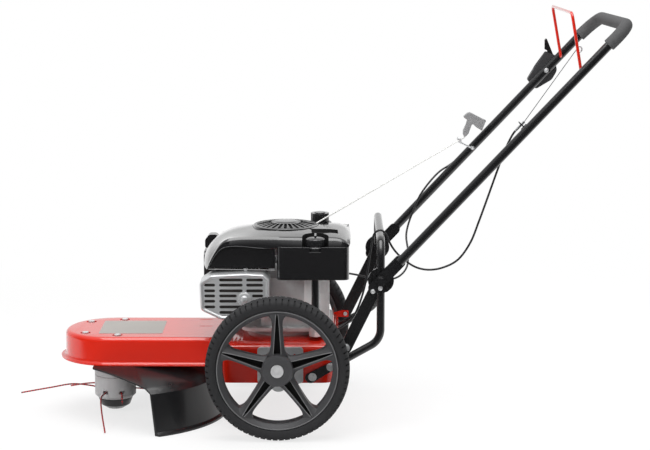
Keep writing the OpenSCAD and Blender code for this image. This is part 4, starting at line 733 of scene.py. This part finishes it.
def drawn_in(points, gap):
    """An outline that runs clockwise, moved inwards by a gap."""
    out = []
    for i, point in enumerate(points):
        here = Vector(point)
        u = (here - Vector(points[i - 1])).normalized()
        v = (Vector(points[(i + 1) % len(points)]) - here).normalized()
        inward = Vector((u.y + v.y, -u.x - v.x))
        out.append(tuple(here + inward * gap / (1 + u.dot(v))))
    return out


def guard_loop(gap):
    return rounded_loop(drawn_in(GUARD_OUTLINE, gap), [r - gap for r in GUARD_ROUND])


def guard_slots():
    """The slots of the face, but for its two cut corners, and shorter beside the bolt."""
    slots = []
    for row, z in enumerate(GUARD_ROWS):
        for column, (x0, x1) in enumerate(GUARD_COLUMNS):
            if column == 0 and row in (0, len(GUARD_ROWS) - 1):
                continue
            if abs(z - GUARD_BOLT[1]) < GUARD_BOLT_CLEAR - SLOT_HIGH / 2:
                x1 = min(x1, GUARD_BOLT[0] - GUARD_BOLT_CLEAR) if column == 1 else x1
                x0 = max(x0, GUARD_BOLT[0] + GUARD_BOLT_CLEAR) if column == 2 else x0
            slots.append(slot_loop((x0 + x1) / 2, z, x1 - x0, SLOT_HIGH))
    return slots


def guard_mesh():
    bm = bmesh.new()
    bridged(bm, [edge_loop(bm, [mm(x, y, z) for x, z in guard_loop(gap)]) for gap, y in GUARD_RIM])
    face = flat_plate(guard_loop(GUARD_FACE_IN), guard_slots(), GUARD_FACE_T)
    return joined(bm, moved(face, facing_left(GUARD_FACE_Y)))


piece("muffler_guard_pressing", guard_mesh(), SILVER_PRESS, ("muffler_guard",), bevel=0.5,
      angle=40)
guard_bolt = bolt_head((GUARD_BOLT[0], GUARD_BOLT_SEAT, GUARD_BOLT[1]))
piece("guard_bolt_heads", joined(guard_bolt, bolt_head(TAB_BOLT, TAB_BOLT_SCALE)), ZINC,
      ("guard_bolts",))


# Engine shroud: a bowed top drawn over the nose, with a flared band and a sunk panel on each side

# Outline along the machine, as X and Z: at the middle, and at the edge of the top
SHROUD_MID = [
    (-193, 402), (-190.5, 420), (-177, 443), (-153, 461), (-120, 474.5), (-86, 482), (-50, 488),
    (-8, 490.5), (8, 490.5), (70, 490.5), (135, 489), (162, 482.5), (177, 470), (181, 462.4)]
SHROUD_EDGE = [
    (-179, 402), (-172, 421), (-161, 443), (-144, 468), (-124, 480), (-92, 484), (-50, 484.3),
    (-8, 484), (8, 484), (70, 483.5), (140, 483), (164, 477), (173, 469), (177, 462.4)]
# Lower edge of the band, as X, Z and distance from the middle
SHROUD_LIP = [
    (-177.5, 402, 150.6), (-169, 421, 154), (-157, 441, 157), (-143, 456, 159), (-124, 462.5, 160),
    (-92, 463, 160), (-50, 459, 160), (-8, 458, 160.5), (8, 462, 161), (70, 462.4, 162.5),
    (140, 462.4, 162.5), (160, 462.4, 161), (170, 462.4, 158), (176.5, 462.4, 153)]
SHROUD_EDGE_Y, SHROUD_ROWS, SHROUD_BETWEEN = 150, 20, 6
# How late the top falls away from its middle line, on the left and on the right
BOW_POWER = {-1: 2.6, 1: 1.5}
# How much lower the edge and the band of the right side lie, point by point
RIGHT_DROP = [0, 0, 3, 18, 22, 20, 18, 16, 16, 15, 14, 12, 6, 0]
# Rounding of the fold above the band: shares of the way down, and how far it stands out
FOLD_SHARES, FOLD_OUT = (0.18, 0.45), 2.6
# The panel ends under a point of the band; its edge turns in by a step before it sinks
PANEL_POINTS, PANEL_REAR_Z = 7, (440, 420, 402)
PANEL_TURN_IN, PANEL_TURN_DEEP, PANEL_IN = 1.4, 1, 2.6
PANEL_SINK, PANEL_FOOT = {-1: 12, 1: 3}, 405
GRILLE_AT, GRILLE_HOLE, GRILLE_WALL_Z = (15, 0), 84, 474
KNOB_AT, KNOB_WELL, KNOB_WALL_Z = (92, -142), 33, 453
POCKET_X, POCKET_Y, POCKET_WALL, POCKET_DEEP = (84, 148), (-106, -62), 1.6, 9
# Least upward share of a face's normal, in the pocket and in the strip along the panel's foot
POCKET_UP, FOOT_UP = 0.5, 0.7


def dropped(side):
    """How much lower each point along one side lies."""
    return RIGHT_DROP if side > 0 else [0] * len(RIGHT_DROP)


def shroud_row(side, share):
    """Points of one line along the top, at a share of the way from the middle to an edge."""
    bow = share ** BOW_POWER[side]
    rows = [mm(mx + (ex - mx) * bow, side * SHROUD_EDGE_Y * share, mz + (ez - drop - mz) * bow)
            for (mx, mz), (ex, ez), drop in zip(SHROUD_MID, SHROUD_EDGE, dropped(side))]
    return curve_through(rows, SHROUD_BETWEEN)


def lip_row(side):
    return curve_through([mm(x, side * y, z - drop)
                          for (x, z, y), drop in zip(SHROUD_LIP, dropped(side))], SHROUD_BETWEEN)


def fold_row(side, share):
    """One line of the rounded fold between the top's edge and the band's lower edge."""
    out = FOLD_OUT * math.sin(math.pi * share)
    return [edge.lerp(lip, share) + mm(0, side * out, out)
            for edge, lip in zip(shroud_row(side, 1), lip_row(side))]


def face_up(bm):
    """Makes the faces agree, with the top's faces turned up."""
    bmesh.ops.recalc_face_normals(bm, faces=bm.faces)
    if sum(f.normal.z for f in bm.faces) < 0:
        bmesh.ops.reverse_faces(bm, faces=bm.faces)


def cut_well(bm, centre, radius, low, open_side=False):
    """Cuts a round hole through the top and turns its edge down to a height.

    An open well runs on, as wide as it is, through the left band."""
    mid = mm(*centre, 0).to_2d()

    def from_mid(vert):
        away = vert.co.to_2d() - mid
        if open_side and away.y < 0:
            away.y = 0
        return away

    inside = [f for f in bm.faces if f.calc_center_median().z > low * MM
              and any(from_mid(v).length < radius * MM for v in f.verts)]
    rim = {e for f in inside for e in f.edges if any(g not in inside for g in e.link_faces)}
    bmesh.ops.delete(bm, geom=inside, context="FACES")
    for vert in {v for e in rim for v in e.verts}:
        away = from_mid(vert)
        vert.co.xy += away.normalized() * radius * MM - away
    wall = bmesh.ops.extrude_edge_only(bm, edges=list(rim))["geom"]
    for item in wall:
        if isinstance(item, bmesh.types.BMVert):
            item.co.z = low * MM
        elif isinstance(item, bmesh.types.BMFace):
            # The well's wall is painted dark as shade
            item.material_index = 1


def sink_pocket(bm):
    """The pocket behind the knob's well, painted dark as shade."""
    found = faces_where(bm, lambda mid: POCKET_X[0] < mid.x < POCKET_X[1]
                        and POCKET_Y[0] < mid.y < POCKET_Y[1])
    pocket = [face for face in found if face.normal.z > POCKET_UP]
    walls = bmesh.ops.inset_region(bm, faces=pocket, thickness=POCKET_WALL * MM,
                                   depth=-POCKET_DEEP * MM)["faces"]
    # The pocket and its walls are painted dark as shade
    set_finish(pocket + walls, 1)


def sunk_panel(bm, side):
    """The panel under the band: its outline is turned in and closed by a flat face."""
    rim = lip_row(side)[:PANEL_POINTS * SHROUD_BETWEEN + 1]
    rim += [Vector((rim[-1].x, rim[-1].y, z * MM)) for z in PANEL_REAR_Z]
    outline = [(point.x / MM, point.z / MM) for point in rim]
    flat_y = side * (SHROUD_LIP[PANEL_POINTS][2] - PANEL_SINK[side])
    turn = [mm(x, point.y / MM - side * PANEL_TURN_DEEP, z)
            for (x, z), point in zip(drawn_in(outline, PANEL_TURN_IN), rim)]
    flat = [mm(x, flat_y, z) for x, z in drawn_in(outline, PANEL_IN)]
    loops = [edge_loop(bm, points) for points in (rim, turn, flat)]
    bridged(bm, loops)
    bmesh.ops.contextual_create(bm, geom=loops[-1])
    foot = [face for face in faces_where(bm, lambda mid: mid.z < PANEL_FOOT)
            if abs(face.normal.z) > FOOT_UP]
    bmesh.ops.delete(bm, geom=foot, context="FACES")


def shroud_mesh():
    bm = bmesh.new()
    rows = [lip_row(1)] + [fold_row(1, share) for share in reversed(FOLD_SHARES)]
    rows += [shroud_row(1, k / SHROUD_ROWS) for k in range(SHROUD_ROWS, 0, -1)]
    rows += [shroud_row(-1, k / SHROUD_ROWS) for k in range(SHROUD_ROWS + 1)]
    rows += [fold_row(-1, share) for share in FOLD_SHARES] + [lip_row(-1)]
    chains = []
    for row in rows:
        verts = [bm.verts.new(point) for point in row]
        chains.append([bm.edges.new(pair) for pair in zip(verts, verts[1:])])
    bridged(bm, chains)
    face_up(bm)
    sink_pocket(bm)
    cut_well(bm, GRILLE_AT, GRILLE_HOLE, GRILLE_WALL_Z)
    cut_well(bm, KNOB_AT, KNOB_WELL, KNOB_WALL_Z, open_side=True)
    for side in (-1, 1):
        sunk_panel(bm, side)
    bmesh.ops.remove_doubles(bm, verts=bm.verts, dist=MERGE_WITHIN)
    face_up(bm)
    return bm


# The shroud's second finish is painted shade, in its wells and its pocket
piece("engine_shroud", shroud_mesh(), [BLACK_SHELL, RECESS_PAINTED_SHADE], ("blower_housing",), bevel=2.2,
      segments=3, angle=34)


# Crankcase, and the sump's flange round its foot, with bolts

COLUMN_X = 90
SUMP_X, SUMP_HALF, SUMP_ROUND, SUMP_T, SUMP_Z = (-96, 138), 116, 34, 9, 240
SUMP_BOLTS, SUMP_BOLT_IN, SUMP_BOLT_SCALE = 5, 8, 0.42


def crankcase_mesh():
    """The CAD crankcase, with its rear column in a second finish: a lighter alloy, brightened
    further as painted light against the tank's shade.
    """
    bm = whole_faces(cad_mesh("crankcase"))
    set_finish(faces_where(bm, lambda mid: mid.x > COLUMN_X), 1)
    return bm


def sump_mesh():
    bm = flat_plate(rounded_loop(rectangle(SUMP_X, SUMP_HALF), SUMP_ROUND), [], SUMP_T)
    moved(bm, put_at(0, 0, SUMP_Z))
    first, last = SUMP_X[0] + SUMP_ROUND, SUMP_X[1] - SUMP_ROUND
    for side in (-1, 1):
        for k in range(SUMP_BOLTS):
            x = first + (last - first) * k / (SUMP_BOLTS - 1)
            seat = put_at(x, side * (SUMP_HALF - SUMP_BOLT_IN), SUMP_Z + SUMP_T / 2)
            joined(bm, moved(bolt_mesh(SUMP_BOLT_SCALE, steps=32), seat))
    return bm


piece("crankcase_casting", crankcase_mesh(), [CAST, COLUMN_ALLOY_PAINTED_LIT], ("crankcase",), bevel=1.6)
piece("sump_flange", sump_mesh(), CAST, body="chassis", bevel=1.2)


# Recoil starter's grille: a domed sheet with radial slots over a dark disc, painted shade under the
# slots

GRILLE_SLOTS, GRILLE_SLOT_R, GRILLE_SLOT_LONG, GRILLE_SLOT_WIDE = 28, 56, 38, 7.4
GRILLE_GAP, GRILLE_EDGE_Z, GRILLE_RISE, GRILLE_BOW, GRILLE_T = 1.6, 489, 10, 2.4, 1.6
GRILLE_RIM = [(80.4, 473), (83, 473), (83.2, 489), (82.6, 491), (80.4, 491.4), (79.4, 490)]
GRILLE_BOSS = [(0, 500.6), (22, 500.4), (27, 499.8), (29.4, 498.6), (30, 496)]
GRILLE_SHADE_DISC, GRILLE_SIDES = [(0, 477.6), (80, 476.6)], 112


def ring_points(radius, count):
    return arc(0, 0, radius, 0, 360 - 360 / count, count - 1)


def turned_slot(angle):
    """One radial slot of the grille."""
    spin = Matrix.Rotation(math.radians(angle), 2)
    return [tuple(spin @ Vector(point))
            for point in slot_loop(GRILLE_SLOT_R, 0, GRILLE_SLOT_LONG, GRILLE_SLOT_WIDE)]


def grille_mesh():
    slots = [turned_slot(360 * k / GRILLE_SLOTS) for k in range(GRILLE_SLOTS)]
    bm = flat_plate(ring_points(GRILLE_HOLE - GRILLE_GAP, GRILLE_SIDES), slots, GRILLE_T)
    for vert in bm.verts:
        share = vert.co.to_2d().length / (GRILLE_HOLE * MM)
        vert.co.z += (GRILLE_EDGE_Z + GRILLE_RISE * (1 - share ** GRILLE_BOW)) * MM
    # A dark disc under the slots, painted shade
    shade_disc = turned(GRILLE_SHADE_DISC)
    set_finish(shade_disc.faces, 1)
    joined(bm, turned(GRILLE_RIM), turned(GRILLE_BOSS, steps=64), shade_disc)
    return moved(bm, put_at(*GRILLE_AT, 0))


piece("recoil_grille", grille_mesh(), [BLACK_SHELL, RECESS_PAINTED_SHADE], ("recoil_cover",), bevel=0.5,
      angle=40)


# Fuel cap's collar, dipstick's knob, and the air intake on the right front of the shroud

CAP_AT = (101, 100)
CAP_COLLAR = [(25, 466), (34, 466), (32.4, 474), (30.4, 479.6), (28.6, 481.4), (25, 481.6)]
KNOB_SECTION = [
    (0, 483.4), (12, 483), (20, 481.4), (24.6, 478.4), (26.4, 474), (27, 466), (26.4, 459),
    (24.6, 454.6), (22, 452.6), (0, 452.6)]
KNOB_FLUTES, KNOB_FLUTE_DEEP = 16, 0.045
KNOB_FIN = [(-13, 480), (-11, 488), (-7, 491.6), (7, 491.6), (11, 488), (13, 480)]
KNOB_FIN_ROUND, KNOB_FIN_T = 2, 5
SNORKEL = [(-203, 402), (-203, 424), (-192, 438), (-172, 438), (-160, 420), (-160, 402)]
SNORKEL_ROUND, SNORKEL_Y, SNORKEL_WIDE = [6, 12, 10, 10, 8, 6], 160, 34


def knob_mesh():
    """The dipstick's knob, fluted round its side, with a fin to turn it by."""
    bm = turned(KNOB_SECTION)
    for vert in bm.verts:
        turn = math.atan2(vert.co.y, vert.co.x)
        vert.co.xy *= 1 - KNOB_FLUTE_DEEP * max(0, math.cos(KNOB_FLUTES * turn)) ** 2
    fin = flat_plate(rounded_loop(KNOB_FIN, KNOB_FIN_ROUND), [], KNOB_FIN_T)
    return moved(joined(bm, moved(fin, spun(90, "Z") @ spun(90, "X"))), put_at(*KNOB_AT, 0))


piece("fuel_cap_collar", moved(turned(CAP_COLLAR, steps=64), put_at(*CAP_AT, 0)), BLACK_SHELL,
      body="chassis")
piece("dipstick_knob", knob_mesh(), BLACK_SHELL, body=BODY_OF["dipstick"], bevel=0.6)
piece("air_intake", stood_plate(SNORKEL, SNORKEL_ROUND, SNORKEL_Y, SNORKEL_WIDE), BLACK_SHELL,
      body="chassis", bevel=4, segments=4)


# Handlebar: the tube ends inside a bent foam grip

PIVOT, BAR_WAY, BAR_HALF, BAR_R = mm(254, 0, 390), Vector((0.68455, 0, 0.72897)), 240, 11
BAR_CUT = 806
GRIP_FROM, GRIP_R, GRIP_BEND = {-1: 794, 1: 776}, 15.6, 54
GRIP_CORNER = {-1: (846, 1016), 1: (836, 1004)}


def on_bar(along, y):
    """A point on the handlebar, by its distance from the pivot."""
    return PIVOT + BAR_WAY * along * MM + mm(0, y, 0)


def bar_tube_mesh():
    """The handlebar's tube, ended inside the grip."""
    bm = cad_mesh("upper_handlebar")
    cut_by_plane(bm, on_bar(BAR_CUT, 0), BAR_WAY, clear_outer=True)
    return whole_faces(bm)


def corner_pair(places, half):
    """Points at the X and Z of each side's place, half a width from the middle."""
    return [mm(places[side][0], side * half, places[side][1]) for side in (-1, 1)]


def grip_mesh():
    ends = [on_bar(GRIP_FROM[side], side * BAR_HALF) for side in (-1, 1)]
    corners = corner_pair(GRIP_CORNER, BAR_HALF)
    path = bent([ends[0], *corners, ends[1]], [GRIP_BEND * MM] * 2, steps=14)
    return swept(path, GRIP_R * MM, sides=32)


piece("handlebar_tube", bar_tube_mesh(), BLACK_PAINT, ("upper_handlebar",), bevel=0.5)
piece("foam_grip", grip_mesh(), FOAM, ("handle_grip",), bevel=2, segments=3)


# Bail, with the hook of its wire

BAIL_FOOT, BAIL_HALF, BAIL_HOLE, BAIL_R = (735.2, 902.5), 222, 233, 3.8
BAIL_CORNER = {-1: (710, 1045), 1: (711, 1034)}
BAIL_BENDS = [4.8, 15, 15, 4.8]
HOOK_AT, HOOK_R, HOOK_WIRE_R = (728.4, -222, 958), 7, 1.9


def bail_mesh():
    feet = [mm(BAIL_FOOT[0], y, BAIL_FOOT[1])
            for y in (-BAIL_HOLE, -BAIL_HALF, BAIL_HALF, BAIL_HOLE)]
    corners = corner_pair(BAIL_CORNER, BAIL_HALF)
    path = bent(feet[:2] + corners + feet[2:], [bend * MM for bend in BAIL_BENDS])
    return swept(path, BAIL_R * MM, sides=20)


piece("bail_rod", bail_mesh(), RED_PAINT, ("bail",))
hook_path = [mm(x, HOOK_AT[1], z)
             for x, z in arc(HOOK_AT[0], HOOK_AT[2], HOOK_R, -150, 150, steps=24)]
piece("bail_hook", swept(hook_path, HOOK_WIRE_R * MM, sides=12), ZINC, body=BODY_OF["bail"])


# Throttle control, and the screws of the handlebar

CONTROL_SHELL = [
    (699, 912), (673, 876), (651, 838), (666, 817.5), (676, 814), (716, 838), (729.5, 862),
    (726.5, 876), (728, 900)]
CONTROL_ROUND = [4, 60, 6, 8, 8, 24, 20, 12, 5]
CONTROL_CORE = [(673, 876), (651, 838), (666, 817.5), (676, 814), (692, 823), (680, 850)]
CONTROL_CORE_ROUND = 5
THROTTLE_PLATE = [
    (700.3, 948), (695.4, 942), (695.8, 918), (703, 915), (701.5, 900), (696, 866), (715, 857),
    (723, 880), (721, 899)]
THROTTLE_ROUND = [2, 4, 2, 2, 6, 8, 8, 12, 12]
CONTROL_Y, CONTROL_WIDE, CONTROL_CHEEK, THROTTLE_WIDE = 263.2, 23.6, 4.6, 12.6
CONTROL_BOLT, CONTROL_BOLT_SCALE = (698.4, BAR_HALF - BAR_R, 864.6), 0.36
PIVOT_FACE = -236
PIVOT_SCREWS, PIVOT_SCREW_SCALE = [(234, PIVOT_FACE, 364), (252.5, PIVOT_FACE, 372)], 0.34


def control_mesh():
    """Two cheeks with room for the throttle between them, closed by a core at the tail."""
    inner = CONTROL_WIDE - CONTROL_CHEEK
    cheeks = [stood_plate(CONTROL_SHELL, CONTROL_ROUND, CONTROL_Y + side * inner / 2, CONTROL_CHEEK)
              for side in (-1, 1)]
    return joined(stood_plate(CONTROL_CORE, CONTROL_CORE_ROUND, CONTROL_Y, inner), *cheeks)


piece("control_shell", control_mesh(), DARK_MOULD, ("control_box",), bevel=1.8, segments=3)
piece("throttle_paddle", stood_plate(THROTTLE_PLATE, THROTTLE_ROUND, CONTROL_Y, THROTTLE_WIDE),
      BLACK_SHELL, ("throttle_lever",), bevel=1.6, segments=3)
piece("control_bolt_head", bolt_head(CONTROL_BOLT, CONTROL_BOLT_SCALE), ZINC, body="handlebar")
pivot_screws = [bolt_head(seat, PIVOT_SCREW_SCALE) for seat in PIVOT_SCREWS]
piece("pivot_screw_heads", joined(*pivot_screws), ZINC, body="handlebar")


# Starter handle, and the rope that it draws out, kept short inside its stem

HANDLE_OUTLINE = [
    (478.6, 743), (494.6, 756.2), (539, 733), (529, 707), (513.7, 716), (503, 726), (493.6, 699),
    (484, 689.4), (479.4, 695), (479.4, 706), (487, 723.5), (490.6, 735)]
HANDLE_ROUND = [3, 9, 5, 5, 10, 3, 4, 4, 3, 8, 8, 4]
HANDLE_END = [(533.6, 737), (539.6, 733.6), (529, 706.4), (523, 710)]
HANDLE_Y, HANDLE_WIDE, HANDLE_END_WIDE, HANDLE_END_ROUND = 214, 19, 16, 2
# The drawn rope begins as rings a millimetre apart
PULL_WAY, ROPE_DRAW_RINGS = Vector((0.6594, -0.2997, 0.6894)), 12

piece("starter_grip", stood_plate(HANDLE_OUTLINE, HANDLE_ROUND, HANDLE_Y, HANDLE_WIDE), GREY_MOULD,
      ("starter_handle",), bevel=5, segments=5)
piece("starter_grip_end", stood_plate(HANDLE_END, HANDLE_END_ROUND, HANDLE_Y, HANDLE_END_WIDE),
      BLACK_SHELL, body=BODY_OF["starter_handle"], bevel=1.6)
rope_draw = [mm(*ROPE_GUIDE) + PULL_WAY * along * MM for along in range(ROPE_DRAW_RINGS)]
piece("starter_rope_draw", swept(rope_draw, ROPE_R * MM, CORD_SIDES), ROPE_BRAID,
      bends=("handlebar", "starter", rope_draw[0], rope_draw[-1]))


# The bail's bare wire, from its bracket at the foot to the bail at the top

WIRE_FOOT, WIRE_TOP = mm(592, -219, 775), mm(722, -222, 950)
piece("bail_wire_drawn", cad_mesh("bail_wire"), STEEL, ("bail_wire",),
      bends=("handlebar", "bail_frame", WIRE_FOOT, WIRE_TOP))


# Drive belt: the idler pushes the left side in, so that side is split off into pieces of its own

IDLER_X = -171.9
# Where each half of the left side begins to follow the idler, and where it follows it wholly
BELT_SIDES = {"front": (-400, -190), "rear": (-20, -155)}
BELT_CUTS = 12


def belt_part(first, last, inside):
    """The left side of the belt between two places, or all the rest of it."""
    bm = whole_faces(cad_mesh("drive_belt"))
    for k in range(BELT_CUTS + 1):
        cut_by_plane(bm, mm(first + (last - first) * k / BELT_CUTS, 0, 0), Vector((1, 0, 0)))
    low, high = sorted((first, last))
    away = faces_where(bm, lambda mid: (low < mid.x < high and mid.y < 0) != inside)
    bmesh.ops.delete(bm, geom=away, context="FACES")
    fill_ends(bm)
    return bm


piece("belt_loop", belt_part(BELT_SIDES["front"][0], BELT_SIDES["rear"][0], False), BELT_RUBBER,
      ("drive_belt",))
for end, (start, followed) in BELT_SIDES.items():
    piece(f"belt_{end}_side", belt_part(start, IDLER_X, True), BELT_RUBBER,
          bends=("chassis", "idler", mm(start, 0, 0), mm(followed, 0, 0)))


# Bare panel on the deck

PANEL_X, PANEL_HALF, PANEL_ROUND, PANEL_T, DECK_TOP = (-462, -300), 74, 6, 0.5, 220
panel = flat_plate(rounded_loop(rectangle(PANEL_X, PANEL_HALF), PANEL_ROUND), [], PANEL_T)
piece("deck_panel", moved(panel, put_at(0, 0, DECK_TOP + PANEL_T / 2)), BARE_PANEL, body="chassis")


# CAD pieces kept, each with its finish and the width of its eased edges

EASED = {
    "deck": (RED_PAINT, 1.4), "deck_bolts": (ZINC, 0.5), "debris_shield": (SHIELD_SKIN, 1),
    "axle_plates": (PLATE_STEEL, 0.8), "stub_axles": (ZINC, 0.6), "lower_loop": (BLACK_PAINT, 0.5),
    "brace_bars": (BLACK_PAINT, 1), "loop_bolts": (ZINC, 0.5), "pivot_discs": (BLACK_SHELL, 0.6),
    "pivot_bolts": (BLACK_PAINT, 0.8), "spindle_housing": (CAST, 1),
    "engine_cylinder": (CAST, 0.6), "cylinder_head": (CAST, 0.8), "spark_plug": (BLACK_SHELL, 0.6),
    "muffler": (HOT_STEEL, 1.2), "fuel_tank": (BLACK_SHELL, 2),
    "oil_fill_tube": (BLACK_SHELL, 0.6), "air_cleaner": (BLACK_SHELL, 2),
    "carburettor": (CAST, 0.8), "flywheel": (CAST, 0.6), "drive_pulley": (CAST, 0.6),
    "spindle_pulley": (CAST, 0.6), "trimmer_head": (PALE_MOULD, 1),
    "glide_cap": (SHIELD_SKIN, 1), "idler_arm": (STEEL, 0.6), "idler_pulley": (CAST, 0.6),
    "cable_bracket": (BLACK_PAINT, 0.5), "rope_guide": (ZINC, 0.2),
    "fuel_cap": (BLACK_SHELL, 0.8), "dipstick": (BLACK_SHELL, 1.2),
}
PLAIN = {"spindle_bearings": STEEL, "crankshaft": STEEL, "spindle": STEEL}

for node, (material, width) in EASED.items():
    piece(node + "_eased", whole_faces(cad_mesh(node)), material, (node,), bevel=width)
for node, material in PLAIN.items():
    NODES[node].data.materials.clear()
    NODES[node].data.materials.append(material)


# Floor, world and lamps

FLOOR_HALF, FLOOR_DROP, FLOOR_TONE = 30, 0.5, 0.86
# How white the floor is shown near the machine, and between which distances it goes over to white
FLOOR_WHITE, FLOOR_NEAR, FLOOR_FAR = 0.74, 0.9, 2.2
# In reflections the floor in front and the world in front and below fall dark, as in an unlit room
FRONT_DARK_AT, FRONT_LIT_AT, FRONT_LEVEL = -0.75, -0.1, 0.05
BACK_DARK_AT, BACK_LIT_AT, BACK_LEVEL = -0.4, 0.85, 0.05
ABOVE_DARK_AT, ABOVE_LIT_AT = 0.25, 0.9
WORLD_GLOSS, WORLD_LIGHT = 0.8, 0.55
# Name, place, aim, size, power, and whether the lamp is mirrored in the machine's gloss
LAMPS = [
    ("overhead", (0, -0.6, 3.6), (0, 0, 0.3), 3, 110, True),
    ("front_left", (-2.6, -3.2, 2.2), (0, 0, 0.35), 1.6, 60, False),
    ("rear_right", (2.4, 2.6, 2.4), (0.1, 0, 0.4), 1.6, 50, False),
]


def bare_tree(block):
    """The emptied node tree of a material or a world."""
    block.use_nodes = True
    block.node_tree.nodes.clear()
    return block.node_tree


def seen_rays(tree):
    """The kinds of ray, and a mask of those that show a thing straight, in gloss or in glass."""
    rays = put(tree, "LightPath")
    seen = math_node(tree, "MAXIMUM", rays["Is Camera Ray"], rays["Is Glossy Ray"])
    return rays, math_node(tree, "MAXIMUM", seen, rays["Is Transmission Ray"])


def mix_out(tree, kind, share, first, second):
    """Ends a tree in a mix of two shaders."""
    mix = put(tree, "MixShader", {0: share, 1: first, 2: second})
    put(tree, "Output" + kind, {"Surface": mix[0]})


def floor_paint():
    """A pale floor that is shown white, but keeps the machine's shadow."""
    material = bpy.data.materials.new("pale_floor")
    tree = bare_tree(material)
    rays, seen = seen_rays(tree)
    place = put(tree, "TexCoord")["Object"]
    away = put(tree, "VectorMath", {0: place}, operation="LENGTH")["Value"]
    white = ramp_node(tree, away, FLOOR_NEAR, FLOOR_FAR, FLOOR_WHITE)
    front = ramp_node(tree, put(tree, "SeparateXYZ", {0: place})["Y"], FRONT_DARK_AT, FRONT_LIT_AT,
                      FRONT_LEVEL)
    level = math_node(tree, "MAXIMUM", front, rays["Is Camera Ray"])
    dim = math_node(tree, "MULTIPLY", rays["Is Glossy Ray"],
                    math_node(tree, "SUBTRACT", 1, front))
    share = math_node(tree, "MAXIMUM", math_node(tree, "MULTIPLY", seen, white), dim)
    paint = put(tree, "BsdfDiffuse", {"Color": (FLOOR_TONE, FLOOR_TONE, FLOOR_TONE, 1)})
    glow = put(tree, "Emission", {"Strength": level})
    mix_out(tree, "Material", share, paint[0], glow[0])
    return material


def studio_floor():
    bm = bmesh.new()
    bmesh.ops.create_grid(bm, x_segments=1, y_segments=1, size=FLOOR_HALF)
    mesh = bpy.data.meshes.new("floor")
    bm.to_mesh(mesh)
    bm.free()
    mesh.materials.append(floor_paint())
    floor = bpy.data.objects.new("floor", mesh)
    floor.location.z = -FLOOR_DROP * MM
    bpy.context.scene.collection.objects.link(floor)


def studio_world():
    """A world that is white to the camera, dim as a light, and dark in front in reflections."""
    world = bpy.data.worlds.new("studio")
    bpy.context.scene.world = world
    tree = bare_tree(world)
    rays, seen = seen_rays(tree)
    axes = put(tree, "SeparateXYZ", {0: put(tree, "TexCoord")["Generated"]})
    back = ramp_node(tree, axes["Y"], BACK_DARK_AT, BACK_LIT_AT, BACK_LEVEL)
    above = ramp_node(tree, axes["Z"], ABOVE_DARK_AT, ABOVE_LIT_AT)
    gloss = math_node(tree, "MULTIPLY", math_node(tree, "MAXIMUM", back, above), WORLD_GLOSS)
    level = math_node(tree, "MAXIMUM", gloss, rays["Is Camera Ray"])
    lit = put(tree, "Background", {"Strength": WORLD_LIGHT})
    shown = put(tree, "Background", {"Color": (1, 1, 1, 1), "Strength": level})
    mix_out(tree, "World", seen, lit[0], shown[0])


def lamp(name, place, aim, size, power, mirrored):
    light = bpy.data.lights.new(name, "AREA")
    light.shape = "SQUARE"
    light.size = size
    light.energy = power
    obj = bpy.data.objects.new(name, light)
    obj.location = place
    obj.rotation_euler = (Vector(aim) - Vector(place)).to_track_quat("-Z", "Y").to_euler()
    obj.visible_glossy = mirrored
    bpy.context.scene.collection.objects.link(obj)


studio_floor()
studio_world()
for settings in LAMPS:
    lamp(*settings)
bpy.context.scene.view_settings.view_transform = "Standard"
